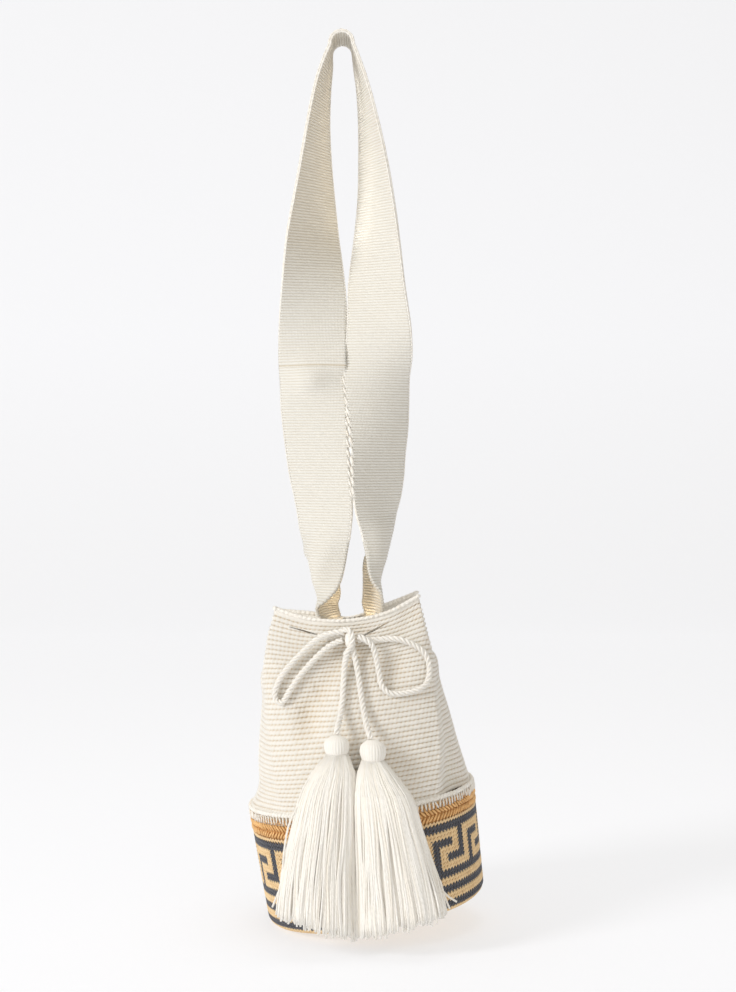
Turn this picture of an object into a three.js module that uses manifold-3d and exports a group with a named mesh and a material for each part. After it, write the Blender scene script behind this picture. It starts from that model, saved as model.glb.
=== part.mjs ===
// A drawstring bucket bag: a two-tone straw basket base, a soft crocheted cotton upper whose sides fold
// inwards like a gusset, a wide woven shoulder strap that twists on its way down, and a cord tied in a bow
// with a tassel on each tail. Millimetres, +Z up, +X to the wearer's left, the front towards -Y.
// The origin is where the strap hangs: the underside of its bend, at the middle of its width.
import * as THREE from "three";
import { mergeVertices } from "three/addons/utils/BufferGeometryUtils.js";
import Module from "manifold-3d";

const wasm = await Module();
wasm.setup();

// Driving dimensions
const GAP = 0.35; // clearance between pieces that are sewn together
const WALL = 3; // crochet and straw wall

const BASE = {
  rim: new THREE.Vector3(18.7, 0, -679.4), // centre of the top edge of the joining band
  tilt: 9, // degrees: the right side hangs higher than the left
  height: 98, // from that edge to the flat bottom
  topRadius: 101,
  bottomRadius: 97,
  cornerRadius: 9,
  sides: 44,
};
const JOIN_BAND = { height: 8, proud: 0.8 }; // cream whip stitches over the basket's edge
const BRAID_BAND = { height: 13, proud: 0.8 }; // herringbone chain in darker straw

const STRAP = { width: 61, thickness: 3, bendRadius: 9.5, across: 6, clear: 0.8 };
const CORD_DIAMETER = 5.6;

// Materials
const cloth = (color, roughness) => new THREE.MeshStandardMaterial({ color, roughness, metalness: 0 });
const CREAM_CROCHET = cloth(0xeae2d2, 0.9);
const CREAM_WEBBING = cloth(0xece5d6, 0.85);
const WHITE_COTTON = cloth(0xf3efe6, 0.85);
const TAN_STRAW = cloth(0xd2a973, 0.7);
const BROWN_STRAW = cloth(0xb98349, 0.7);

// Columns of a table, interpolated smoothly over its first column
function smoothTable(columns, rows) {
  const places = rows.map((row) => row[0]);
  const values = rows.flatMap((row) => row.slice(1));
  const curve = new THREE.CubicInterpolant(places, values, columns.length - 1, []);
  return (place) => {
    const found = curve.evaluate(place);
    return Object.fromEntries(columns.slice(1).map((name, i) => [name, found[i]]));
  };
}

// A closed surface through rings of points: each ring closes on itself, and the ends are capped, or the last
// ring meets the first. Caps join a ring's two halves, so a thin bent section closes cleanly.
function skin(rings, { endless = false } = {}) {
  const count = rings[0].length;
  const index = [];
  const last = endless ? rings.length : rings.length - 1;
  for (let r = 0; r < last; r++) {
    const low = r * count;
    const high = ((r + 1) % rings.length) * count;
    for (let i = 0; i < count; i++) {
      const j = (i + 1) % count;
      index.push(low + i, low + j, high + j, low + i, high + j, high + i);
    }
  }
  const capWith = (offset, flip) => {
    for (let i = 0; i < count / 2 - 1; i++) {
      const [a, b, c, d] = [i, i + 1, count - 2 - i, count - 1 - i].map((k) => k + offset);
      const faces = flip ? [a, c, b, a, d, c] : [a, b, c, a, c, d];
      for (let k = 0; k < faces.length; k += 3) {
        const [p, q, s] = faces.slice(k, k + 3);
        if (p !== q && q !== s && p !== s) index.push(p, q, s);
      }
    }
  };
  if (!endless) {
    capWith(0, true);
    capWith((rings.length - 1) * count, false);
  }
  const points = rings.flat().flatMap((p) => [p.x, p.y, p.z]);
  return new THREE.BufferGeometry()
    .setAttribute("position", new THREE.Float32BufferAttribute(points, 3))
    .setIndex(index);
}

function piece(name, geometry, material) {
  const mesh = new THREE.Mesh(geometry, material);
  mesh.name = name;
  return mesh;
}

// Upper body: sections in planes that lean with the bag, from the basket's rim up to the mouth.
// rise runs up the middle; x and lean place the section; front is the depth of the front panel's middle,
// fold_x and fold_y the corner where the front panel turns into the side, and near_x, mid_x and far_x the
// side itself, whose top is drawn in and slips sideways; dip is the share of the rim's dips.
const WALL_SECTIONS = smoothTable(
  ["rise", "x", "lean", "front", "fold_x", "fold_y", "near_x", "mid_x", "far_x", "slip", "dip"],
  [
    [0, 18.7, 9.0, 98.5, 64.6, 74.3, 93.8, 98.5, 93.8, 0, 0],
    [17, 15.8, 8.6, 95, 68.5, 71, 91.5, 95.5, 91.5, 0, 0],
    [39, 13.8, 8.0, 89, 70.5, 66, 87, 90.5, 87, 0, 0],
    [69, 10.9, 7.0, 81, 72, 60, 82, 85.5, 82, 0, 0.02],
    [99, 8.0, 6.0, 72, 72, 54, 77.5, 80, 77, 0, 0.06],
    [127, 5.6, 5.0, 63.5, 73, 48.5, 75, 77, 73, 0, 0.2],
    [141, 4.8, 4.7, 59.5, 72, 46, 66, 64, 60, 1, 0.4],
    [154, 4.2, 4.4, 56, 70, 43, 51, 46, 41, 2, 0.6],
    [180, 4.2, 3.8, 49, 64.2, 38, 27, 17.5, 8.5, 4, 1],
  ],
);
const MOUTH_RISE = 180;
const SIDE_DEPTH = 30; // half of the side's flat stretch, which the strap is sewn to
// how far the rim dips below its front corners, round the section from the middle of the front by the right
const RIM_DIPS = [14, 10, 0, 14, 15, 16, 4, 13, 18, 15, 8, 16, 15, 14, 0, 10];
const PANEL_POINT = 0.55; // extra point on each half of a panel, as a share of its half width
const WALL_STEPS = 3; // facets between the points of a section
const WALL_RISES = [0, 8, 18, 34, 52, 70, 88, 106, 122, 136, 148, 159, 170, 180];
const WALL_FOOT = GAP; // the wall stands just clear of the joining band

// Dents that the drawn cord pulls into the front panel: centre and size in the section's own axes
const DENTS = [
  { x: 3, rise: 155, wide: 17, tall: 16, deep: 7 },
  { x: 4, rise: 138, wide: 16, tall: 12, deep: 3 },
  { x: 10, rise: 112, wide: 12, tall: 34, deep: 4 },
  { x: -28, rise: 108, wide: 12, tall: 24, deep: 2.5 },
  { x: 38, rise: 120, wide: 14, tall: 17, deep: 3 },
  { x: 36, rise: 30, wide: 26, tall: 22, deep: 3 },
];

function dentAt(x, rise) {
  return DENTS.reduce((sum, dent) => {
    const across = (x - dent.x) / dent.wide;
    const along = (rise - dent.rise) / dent.tall;
    return sum + dent.deep * Math.exp(-across * across - along * along);
  }, 0);
}

// The points of one section in its own axes (x across, y back, z up its leaning axis), and their inner offset
function sectionOutline(rise, inset) {
  const s = WALL_SECTIONS(rise);
  const panelY = (middle) => middle - (middle - s.fold_y) * PANEL_POINT ** 2;
  const half = [
    [PANEL_POINT * s.fold_x, -panelY(s.front)],
    [s.fold_x, -s.fold_y],
    [s.near_x, -SIDE_DEPTH, s.slip],
    [s.mid_x, 0, s.slip],
    [s.far_x, SIDE_DEPTH, s.slip],
    [s.fold_x, s.fold_y],
    [PANEL_POINT * s.fold_x, panelY(s.front)],
  ];
  const mirrored = half.map(([x, ...rest]) => [-x, ...rest]).reverse();
  const outline = [[0, -s.front], ...half, [0, s.front], ...mirrored];
  const knots = outline.map(([x, y, slip = 0], i) => new THREE.Vector3(x + slip, y, -RIM_DIPS[i] * s.dip));
  const curve = new THREE.CatmullRomCurve3(knots, true, "centripetal");
  const count = knots.length * WALL_STEPS;
  return Array.from({ length: count }, (_, i) => {
    const at = curve.getPoint(i / count);
    const along = curve.getTangent(i / count);
    const outward = new THREE.Vector3(along.y, -along.x, 0).normalize();
    if (at.y < 0) at.y += dentAt(at.x, rise);
    return at.addScaledVector(outward, -inset);
  });
}

// A point given in a section's axes, placed in the bag's frame
function placed(point, rise) {
  const s = WALL_SECTIONS(rise);
  const lean = THREE.MathUtils.degToRad(s.lean);
  const up = point.z;
  return new THREE.Vector3(
    s.x + point.x * Math.cos(lean) - up * Math.sin(lean),
    point.y,
    BASE.rim.z + WALL_FOOT + rise + point.x * Math.sin(lean) + up * Math.cos(lean),
  );
}

const wallRing = (rise, inset) => sectionOutline(rise, inset).map((p) => placed(p, rise));

// Two slits in the front panel: fine cuts that open, behind the bow, into the hole the drawstring leaves by.
// The outline is given as half heights along the slit, from its outer end.
const SLITS = [
  {
    outer: [-45.2, -521.5],
    towards: [-16.1, -529.3],
    halves: [
      [0, 0.6],
      [20, 1.2],
      [24, 3.3],
      [35, 3.4],
      [38, 2],
    ],
  },
  {
    outer: [38.2, -518.6],
    towards: [17.1, -530],
    halves: [
      [0, 0.6],
      [15, 1.2],
      [18, 3.3],
      [29, 3.4],
      [32, 2],
    ],
  },
];

function slitCutter({ outer, towards, halves }) {
  const lower = halves.map(([along, half]) => new THREE.Vector2(along, -half));
  const upper = halves.map(([along, half]) => new THREE.Vector2(along, half)).reverse();
  const turn = Math.atan2(towards[1] - outer[1], towards[0] - outer[0]);
  return new THREE.ExtrudeGeometry(new THREE.Shape([...lower, ...upper]), { depth: 24, bevelEnabled: false })
    .rotateZ(turn)
    .rotateX(Math.PI / 2)
    .translate(outer[0], -38, outer[1]);
}

function toManifold(geometry) {
  const bare = new THREE.BufferGeometry()
    .setAttribute("position", geometry.getAttribute("position").clone())
    .setIndex(geometry.getIndex());
  const merged = mergeVertices(bare, 1e-4);
  const mesh = new wasm.Mesh({
    numProp: 3,
    vertProperties: new Float32Array(merged.getAttribute("position").array),
    triVerts: new Uint32Array(merged.getIndex().array),
  });
  return new wasm.Manifold(mesh);
}

function fromManifold(solid) {
  const mesh = solid.getMesh();
  return new THREE.BufferGeometry()
    .setAttribute("position", new THREE.Float32BufferAttribute(mesh.vertProperties, 3))
    .setIndex([...mesh.triVerts]);
}

function bagUpper() {
  const outside = WALL_RISES.map((rise) => wallRing(rise, 0));
  const inside = WALL_RISES.map((rise) => wallRing(rise, WALL)).reverse();
  const wall = toManifold(skin([...outside, ...inside], { endless: true }));
  return fromManifold(SLITS.reduce((solid, slit) => solid.subtract(toManifold(slitCutter(slit))), wall));
}

// Basket base and its bands, turned about the base's own axis
function turned(profile) {
  const points = profile.map(([r, z]) => new THREE.Vector2(r, z));
  return new THREE.LatheGeometry(points, BASE.sides).rotateX(Math.PI / 2);
}

const bandFoot = { join: -JOIN_BAND.height, braid: -JOIN_BAND.height - GAP - BRAID_BAND.height };
const basketTop = bandFoot.braid - GAP;

function wallRadius(z) {
  return THREE.MathUtils.mapLinear(z, 0, -BASE.height, BASE.topRadius, BASE.bottomRadius);
}

function basketBase() {
  const corner = (radius, centreZ, turns) =>
    turns.map((turn) => {
      const angle = THREE.MathUtils.degToRad(turn);
      const centre = wallRadius(-BASE.height + BASE.cornerRadius) - BASE.cornerRadius;
      return [centre + radius * Math.cos(angle), centreZ + radius * Math.sin(angle)];
    });
  const centreZ = -BASE.height + BASE.cornerRadius;
  const outer = [
    [0, -BASE.height],
    ...corner(BASE.cornerRadius, centreZ, [-90, -67.5, -45, -22.5, 0]),
    [wallRadius(-50), -50],
    [wallRadius(basketTop), basketTop],
  ];
  const inner = [
    [wallRadius(basketTop) - WALL, basketTop],
    [wallRadius(-50) - WALL, -50],
    ...corner(BASE.cornerRadius - WALL, centreZ, [0, -22.5, -45, -67.5, -90]),
    [0, -BASE.height + WALL],
  ];
  return turned([...outer, ...inner]);
}

// A ring of the basket's wall whose outside is rounded and stands a little proud
function band(foot, height, proud) {
  const middle = foot + height / 2;
  const top = foot + height;
  const round = height / 4;
  return turned([
    [wallRadius(foot), foot],
    [wallRadius(middle) + proud, foot + round],
    [wallRadius(middle) + proud, top - round],
    [wallRadius(top), top],
    [wallRadius(top) - WALL, top],
    [wallRadius(foot) - WALL, foot],
    [wallRadius(foot), foot],
  ]);
}

function base() {
  const group = new THREE.Group();
  group.position.copy(BASE.rim);
  group.rotation.y = -THREE.MathUtils.degToRad(BASE.tilt);
  group.add(
    piece("basket_base", basketBase(), TAN_STRAW),
    piece("braid_band", band(bandFoot.braid, BRAID_BAND.height, BRAID_BAND.proud), BROWN_STRAW),
    piece("joining_band", band(bandFoot.join, JOIN_BAND.height, JOIN_BAND.proud), CREAM_CROCHET),
  );
  return group;
}

// Strap: sections up each leg, from the mouth to the bend. z is the height, x the section's middle, swing its
// turn (0 edge-on at the bend, 90 facing the front, 180 edge-on again), cup the angle that its width is bent
// through, hollow towards the other leg, and fold the share of the width that takes the bend.
const LEG_COLUMNS = ["z", "x", "swing", "cup", "fold"];
const LEFT_LEG = smoothTable(LEG_COLUMNS, [
  [-507, -17, 197, 40, 0.8],
  [-499, -20.5, 196, 105, 0.55],
  [-483, -24.8, 181, 170, 0.34],
  [-471, -27.4, 162, 140, 0.36],
  [-446, -22.5, 136, 60, 0.6],
  [-429, -16.6, 130, 25, 0.8],
  [-417, -16.4, 126, 14, 0.9],
  [-392, -17.8, 118, 8, 1],
  [-357, -22, 109, 4, 1],
  [-321, -25.2, 101, 4, 1],
  [-286, -26.4, 93, 4, 1],
  [-247, -25.9, 79, 4, 1],
  [-217, -25.4, 65.5, 4, 1],
  [-176, -25.9, 48, 4, 1],
  [-141, -24.4, 34.5, 4, 1],
  [-105, -22.6, 23.5, 4, 1],
  [-70, -20.1, 15.5, 4, 1],
  [-36, -15.6, 9, 4, 1],
  [-18, -11.5, 4, 4, 1],
  [-8, -9.5, 0, 4, 1],
]);
const RIGHT_LEG = smoothTable(LEG_COLUMNS, [
  [-507, 29, 197, 20, 0.9],
  [-494, 32.6, 196, 50, 0.7],
  [-481, 34.4, 190, 68, 0.7],
  [-463, 38.5, 182, 112, 0.7],
  [-442, 42, 159, 92, 0.7],
  [-419, 35.8, 144, 36, 0.9],
  [-401, 34, 138, 14, 1],
  [-374, 34.2, 128, 8, 1],
  [-339, 35, 115, 4, 1],
  [-303, 35.4, 98, 4, 1],
  [-277, 34.4, 79, 4, 1],
  [-247, 32.2, 64, 4, 1],
  [-218, 30.4, 54.5, 4, 1],
  [-176, 30.3, 40, 4, 1],
  [-141, 29.5, 30, 4, 1],
  [-105, 26.6, 22, 4, 1],
  [-70, 22.4, 14, 4, 1],
  [-40, 17.4, 7.5, 4, 1],
  [-19, 12.2, 3, 4, 1],
  [-8, 9.5, 0, 4, 1],
]);
const LEG_HEIGHTS = [
  -507, -500, -492, -483, -473, -463, -451, -438, -424, -408, -390, -370, -348, -325, -303, -281, -259, -239,
  -219, -198, -176, -155, -133, -111, -90, -70, -52, -36, -26, -17,
];
const BEND_STEPS = 8;
const SEWN_RISES = [148, 159, 170, 180]; // heights up the side where the strap is sewn to it

// The two faces of a strap section: straight margins either side of a bend through the cup angle
function strapRing(middle, cross, outward, cupDegrees, fold) {
  const cup = THREE.MathUtils.degToRad(cupDegrees);
  const radius = (STRAP.width * fold) / cup;
  const face = (side) =>
    Array.from({ length: STRAP.across + 1 }, (_, i) => {
      const along = STRAP.width * (i / STRAP.across - 0.5);
      const angle = THREE.MathUtils.clamp(along / radius, -cup / 2, cup / 2);
      const straight = along - angle * radius;
      const r = radius + (side * STRAP.thickness) / 2;
      return middle
        .clone()
        .addScaledVector(cross, r * Math.sin(angle) + straight * Math.cos(angle))
        .addScaledVector(outward, r * Math.cos(angle) - radius - straight * Math.sin(angle));
    });
  return [...face(-1), ...face(1).reverse()];
}

// One free section of a leg; side is -1 for the left leg and 1 for the right
function legRing(z, side) {
  const s = side < 0 ? LEFT_LEG(z) : RIGHT_LEG(z);
  const swing = THREE.MathUtils.degToRad(s.swing);
  const cross = new THREE.Vector3(side * Math.sin(swing), -Math.cos(swing), 0);
  const outward = new THREE.Vector3(-side * Math.cos(swing), -Math.sin(swing), 0);
  return strapRing(new THREE.Vector3(s.x, 0, z), cross, outward, s.cup, s.fold);
}

// A section of the sewn end: it lies on the outside of the bag's side, edge for edge with its flat stretch
function sewnRing(rise, side) {
  const knots = 16;
  const [near, far] = side > 0 ? [3, 5] : [13, 11];
  const spot = (share, height, inset) => {
    const ring = wallRing(height, inset);
    const place = (THREE.MathUtils.lerp(near, far, share) / knots) * ring.length;
    const low = Math.floor(place);
    return ring[low].clone().lerp(ring[(low + 1) % ring.length], place - low);
  };
  const face = (off) =>
    Array.from({ length: STRAP.across + 1 }, (_, i) => {
      const share = i / STRAP.across;
      const here = spot(share, rise, 0);
      const across = spot(Math.min(share + 0.1, 1), rise, 0).sub(spot(Math.max(share - 0.1, 0), rise, 0));
      const along = spot(share, Math.min(rise + 4, MOUTH_RISE), 0).sub(spot(share, rise - 4, 0));
      const outward = across.cross(along).multiplyScalar(side).normalize();
      return here.addScaledVector(outward, off);
    });
  return [...face(STRAP.clear), ...face(STRAP.clear + STRAP.thickness).reverse()];
}

function bendRing(step) {
  const angle = Math.PI * (1 - step / BEND_STEPS);
  const toCentre = new THREE.Vector3(-Math.cos(angle), 0, -Math.sin(angle));
  const middle = toCentre.clone().multiplyScalar(-STRAP.bendRadius);
  middle.z -= STRAP.bendRadius - STRAP.thickness / 2;
  return strapRing(middle, new THREE.Vector3(0, -1, 0), toCentre, 4, 1);
}

function strap() {
  const leg = (side) => [
    ...SEWN_RISES.map((rise) => sewnRing(rise, side)),
    ...LEG_HEIGHTS.map((z) => legRing(z, side)),
  ];
  const bend = Array.from({ length: BEND_STEPS + 1 }, (_, i) => bendRing(i));
  return skin([...leg(-1), ...bend, ...leg(1).reverse()]);
}

// Cords: hand-laid routes, each point on the cord's axis
const DRAWSTRING_ROUTE = [
  [2.4, -55.8, -528.2],
  [-5, -55.4, -528.8],
  [-11, -54, -529.2],
  [-16.7, -50.4, -529.1],
  [-21.3, -45.8, -528.2],
  [-25, -41.8, -528.2],
  [-27.2, -36, -530],
  [-26, -28, -533.5],
  [-25.6, -18, -536],
  [-26, -7, -538],
  [-26, 4, -538.5],
  [-24.4, 15, -538.5],
  [-23.5, 26, -537.5],
  [-22, 34, -536.5],
  [-17, 41, -535.5],
  [-7, 45, -535],
  [5, 46, -535],
  [18, 45.5, -534.5],
  [28, 41.5, -534.5],
  [32.5, 34, -535],
  [33.5, 26, -536],
  [36, 15, -536.5],
  [39, 3, -536],
  [41.5, -9, -534],
  [42.6, -20, -531],
  [41.6, -30, -527.5],
  [38.4, -37.4, -525],
  [33, -41, -525],
  [27, -42.8, -526.6],
  [21.6, -44.6, -528.4],
  [17.6, -48.2, -529.6],
  [15.6, -52.8, -529.6],
];
const LOOP_LEFT_ROUTE = [
  [2.1, -62, -524.2],
  [-5.5, -62, -524.8],
  [-14.1, -61.6, -527.2],
  [-22.8, -61.2, -532.2],
  [-31.6, -61.2, -540],
  [-40.3, -61.6, -548.8],
  [-49, -62, -558.8],
  [-55.1, -62.4, -568.9],
  [-57.8, -62.8, -578],
  [-56.2, -63.8, -584.2],
  [-51.4, -65.2, -585.2],
  [-46.6, -65.8, -578.6],
  [-42.4, -65.6, -571.6],
  [-35.9, -64.6, -562.3],
  [-27.2, -63.6, -552.3],
  [-18.5, -62.6, -543.3],
  [-9.8, -61.8, -536.4],
  [-3.4, -61.5, -533.2],
  [1.4, -61.4, -531.6],
];
const LOOP_RIGHT_ROUTE = [
  [14.4, -59, -531.4],
  [19, -59, -531.6],
  [26.7, -58.8, -531.6],
  [38, -58.4, -530.9],
  [51, -57.8, -531.5],
  [62.3, -57.2, -535.8],
  [70.9, -56.8, -541.6],
  [75.8, -57, -550.2],
  [76.8, -58.6, -560.6],
  [74.4, -61.2, -569],
  [68.3, -65, -573.9],
  [58.1, -68.4, -576.5],
  [48.5, -70.2, -577.4],
  [40, -70.9, -575.6],
  [35, -69.8, -569.9],
  [33.3, -67.2, -561.9],
  [31.1, -65, -550.6],
  [28.9, -65, -541.2],
  [25.7, -66, -534.4],
  [20.4, -66.3, -530.2],
  [14.8, -65.4, -527.6],
];
const TAIL_LEFT_ROUTE = [
  [4.7, -62.8, -541.3],
  [3.2, -65.4, -551.3],
  [2.6, -67.8, -558.5],
  [2.3, -70.2, -565.2],
  [1.8, -73, -574],
  [1.2, -76, -582.6],
  [0.3, -80.6, -590.8],
  [-1.2, -86.4, -597.5],
  [-2.6, -91.6, -602.3],
  [-3.4, -94.8, -605.8],
  [-3.5, -95.6, -608.6],
];
const TAIL_RIGHT_ROUTE = [
  [10.6, -62.8, -541.3],
  [12.6, -65, -549.8],
  [14.2, -67.4, -557.5],
  [15.5, -69.6, -565.2],
  [16.8, -72.6, -574],
  [18.1, -76, -583],
  [20, -81.6, -593],
  [22.6, -88, -601.6],
  [25.4, -93.6, -607.4],
  [26.8, -96, -610],
  [27.2, -96.5, -612.2],
];
const CORD_SIDES = 8;

function cord(route, steps) {
  const path = new THREE.CatmullRomCurve3(route.map((p) => new THREE.Vector3(...p)));
  const outline = Array.from({ length: CORD_SIDES }, (_, i) => {
    const angle = (2 * Math.PI * i) / CORD_SIDES;
    return new THREE.Vector2(Math.cos(angle), Math.sin(angle)).multiplyScalar(CORD_DIAMETER / 2);
  });
  const along = { steps, extrudePath: path, bevelEnabled: false };
  return new THREE.ExtrudeGeometry(new THREE.Shape(outline), along);
}

const KNOT = { at: [7.6, -60.5, -531.5], radii: [5.4, 5.6, 10] };

function knot() {
  return new THREE.SphereGeometry(1, 12, 8).rotateX(Math.PI / 2).scale(...KNOT.radii).translate(...KNOT.at);
}

// Tassels: sections down a wound head and a fanned skirt; tip is how far the section's right edge is raised,
// and locks is the share of the grooves between the skirt's locks
const TASSEL_COLUMNS = ["z", "x", "y", "half_width", "half_depth", "tip", "locks"];
const TASSEL_LEFT = [
  [-609.5, -3.5, -95.6, 3.5, 3.5, 0, 0],
  [-612.5, -3.5, -95.8, 8.5, 8.5, 0, 0],
  [-617.5, -3.5, -96.2, 10.5, 10.5, 0, 0],
  [-623.5, -3.3, -96.8, 9.6, 9.6, 0, 0],
  [-627.5, -3.2, -97.6, 7.7, 7.7, 0, 0],
  [-632, -4.2, -100.5, 12, 10.5, 0, 0.4],
  [-638, -6.3, -104.5, 16.3, 13, 0, 0.8],
  [-652.6, -10.5, -113, 21.9, 15.5, 0, 1],
  [-685.5, -14.9, -120.5, 26.6, 17.5, -2, 1],
  [-715, -17.7, -122, 29.6, 18.5, -4, 1],
  [-745, -19.6, -123, 31.6, 19.5, -7, 1],
  [-767, -20.4, -123.5, 32.6, 20, -9.5, 1],
];
const TASSEL_RIGHT = [
  [-613, 27.2, -96.6, 4, 4, 0, 0],
  [-616.5, 27.3, -96.8, 9, 9, 0, 0],
  [-622.5, 27.4, -97.5, 11.1, 11.1, 0, 0],
  [-628.5, 27.6, -98.5, 9.8, 9.8, 0, 0],
  [-632.5, 27.7, -99.5, 8.3, 8.3, 0, 0],
  [-637, 28.4, -102.5, 12.5, 11, 0, 0.4],
  [-643, 30.8, -107, 16.6, 13, 0, 0.8],
  [-654, 35.2, -115.5, 22, 15.5, 0, 1],
  [-685.5, 41.1, -122, 27.5, 18, 2, 1],
  [-715, 45.3, -123.5, 31.7, 19, 4, 1],
  [-745, 49.3, -124, 35.3, 19.5, 7, 1],
  [-767, 51.5, -124.5, 36.8, 20, 10, 1],
];
const TASSEL_SIDES = 30;
const LOCKS = { count: 10, depth: 0.07 };

function tassel(rows) {
  const rings = rows.map((row) => {
    const s = Object.fromEntries(TASSEL_COLUMNS.map((name, i) => [name, row[i]]));
    return Array.from({ length: TASSEL_SIDES }, (_, i) => {
      const angle = (2 * Math.PI * i) / TASSEL_SIDES;
      const groove = (LOCKS.depth * s.locks * (1 - Math.cos(LOCKS.count * angle))) / 2;
      const across = Math.cos(angle) * (1 - groove);
      const deep = Math.sin(angle) * (1 - groove);
      return new THREE.Vector3(s.x + s.half_width * across, s.y + s.half_depth * deep, s.z + s.tip * across);
    });
  });
  return skin(rings.reverse());
}

const bag = new THREE.Group();
bag.add(
  base(),
  piece("bag_upper", bagUpper(), CREAM_CROCHET),
  piece("strap", strap(), CREAM_WEBBING),
  piece("drawstring", cord(DRAWSTRING_ROUTE, 52), WHITE_COTTON),
  piece("bow_knot", knot(), WHITE_COTTON),
  piece("bow_loop_left", cord(LOOP_LEFT_ROUTE, 36), WHITE_COTTON),
  piece("bow_loop_right", cord(LOOP_RIGHT_ROUTE, 40), WHITE_COTTON),
  piece("cord_tail_left", cord(TAIL_LEFT_ROUTE, 16), WHITE_COTTON),
  piece("cord_tail_right", cord(TAIL_RIGHT_ROUTE, 16), WHITE_COTTON),
  piece("tassel_left", tassel(TASSEL_LEFT), WHITE_COTTON),
  piece("tassel_right", tassel(TASSEL_RIGHT), WHITE_COTTON),
);

export default bag;
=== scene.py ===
# %% [markdown]
# # A crocheted basket bag
# The bag hangs by a wide woven strap. Below it are a soft crocheted upper, a straw basket, and a cord
# tied in a bow with two tassels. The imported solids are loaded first: they fix where everything is, and
# each piece made below dresses one of them, in the same frame. The tables are in millimetres, as a maker
# would measure.

# %% The frame
import math
from contextlib import contextmanager

import bpy
import numpy as np
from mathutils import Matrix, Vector


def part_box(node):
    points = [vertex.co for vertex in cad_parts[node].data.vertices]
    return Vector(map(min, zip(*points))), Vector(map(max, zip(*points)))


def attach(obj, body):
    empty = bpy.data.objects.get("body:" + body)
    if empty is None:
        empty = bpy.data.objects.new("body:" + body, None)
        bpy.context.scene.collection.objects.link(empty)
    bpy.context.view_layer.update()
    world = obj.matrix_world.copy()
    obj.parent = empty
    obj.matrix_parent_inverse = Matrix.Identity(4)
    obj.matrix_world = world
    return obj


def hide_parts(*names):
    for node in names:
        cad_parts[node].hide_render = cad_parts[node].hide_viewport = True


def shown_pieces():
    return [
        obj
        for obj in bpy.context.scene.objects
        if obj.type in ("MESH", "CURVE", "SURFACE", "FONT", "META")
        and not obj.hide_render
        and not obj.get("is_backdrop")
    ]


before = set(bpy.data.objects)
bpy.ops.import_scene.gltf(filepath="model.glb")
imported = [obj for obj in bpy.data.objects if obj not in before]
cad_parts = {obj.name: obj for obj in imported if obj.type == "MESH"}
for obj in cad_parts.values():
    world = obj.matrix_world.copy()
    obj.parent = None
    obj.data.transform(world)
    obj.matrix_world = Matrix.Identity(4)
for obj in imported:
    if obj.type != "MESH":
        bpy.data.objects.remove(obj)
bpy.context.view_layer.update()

MM = 0.001
print("frame:", len(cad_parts), "nodes")

# %% [markdown]
# ## Camera, floor and light
# The camera looks at the bag from the front, level with its middle and hardly tipped. The floor is a
# plane whose back edge is extruded upwards and bevelled, the sweep that photographers use, so that no
# horizon shows. A big soft lamp from the left models the folds; the world and weak lamps in front and on
# the right lift the shadows. A few tiny warm ones between the strap's legs and in the mouth stand for the
# light that comes through the cloth.

# %% Camera
CAMERA_PLACE = (0.02325, -1.710, -0.35747)
CAMERA_PITCH = -1.688
CAMERA_LENS, SENSOR_WIDTH = 68.95, 36


def added(operator, **values):
    """Deselects everything, adds an object with an operator and returns it."""
    bpy.ops.object.select_all(action="DESELECT")
    operator(**values)
    return bpy.context.object


camera_turn = (math.radians(90 + CAMERA_PITCH), 0, 0)
camera = added(bpy.ops.object.camera_add, location=CAMERA_PLACE, rotation=camera_turn)
camera.data.lens, camera.data.sensor_width = CAMERA_LENS, SENSOR_WIDTH
bpy.context.scene.camera = camera
print("camera at", tuple(camera.location))

# %% Floor
FLOOR_CLEAR = 0.0012
FLOOR_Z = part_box("basket_base")[0].z - FLOOR_CLEAR
FLOOR_WIDE, FLOOR_DEEP = 8, 6.4
SWEEP_RISE, SWEEP_BEVEL, SWEEP_STEPS = 3.4, 0.7, 16
CLOSE = 0.001


def only(piece):
    """Selects one object and makes it active, as the operators need."""
    bpy.ops.object.select_all(action="DESELECT")
    piece.select_set(True)
    bpy.context.view_layer.objects.active = piece


def pick(piece, test, domain):
    """Selects the edges or faces of a mesh for which test is true, in object mode."""
    mesh = piece.data
    for part in (mesh.vertices, mesh.edges, mesh.polygons):
        part.foreach_set("select", np.zeros(len(part), bool))
    for item in getattr(mesh, domain):
        item.select = bool(test(item))


def corners_of(piece, item):
    """The places of an edge's two ends or of a face's corners."""
    return [piece.data.vertices[v].co for v in item.vertices]


@contextmanager
def edit_mode(select=None):
    """Edit mode for the active object, picking by edge or face if asked, then object mode again."""
    bpy.ops.object.mode_set(mode="EDIT")
    if select:
        bpy.ops.mesh.select_mode(type=select)
    yield
    bpy.ops.object.mode_set(mode="OBJECT")


floor = added(bpy.ops.mesh.primitive_plane_add, size=1)
floor.name = "floor"
floor.scale = (FLOOR_WIDE, FLOOR_DEEP, 1)
floor.location = (0, 0, FLOOR_Z)
bpy.ops.object.transform_apply(location=True, rotation=True, scale=True)
back, low = FLOOR_DEEP / 2 - CLOSE, FLOOR_Z + CLOSE
pick(floor, lambda edge: all(co.y > back for co in corners_of(floor, edge)), "edges")
with edit_mode("EDGE"):
    bpy.ops.mesh.extrude_region_move(TRANSFORM_OT_translate={"value": (0, 0, SWEEP_RISE)})
pick(floor, lambda edge: all(co.y > back and co.z < low for co in corners_of(floor, edge)), "edges")
with edit_mode("EDGE"):
    bpy.ops.mesh.bevel(offset=SWEEP_BEVEL, segments=SWEEP_STEPS, affect="EDGES")
bpy.ops.object.shade_smooth()
floor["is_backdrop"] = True
print("floor:", len(floor.data.polygons), "faces at", round(FLOOR_Z, 4))

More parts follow.
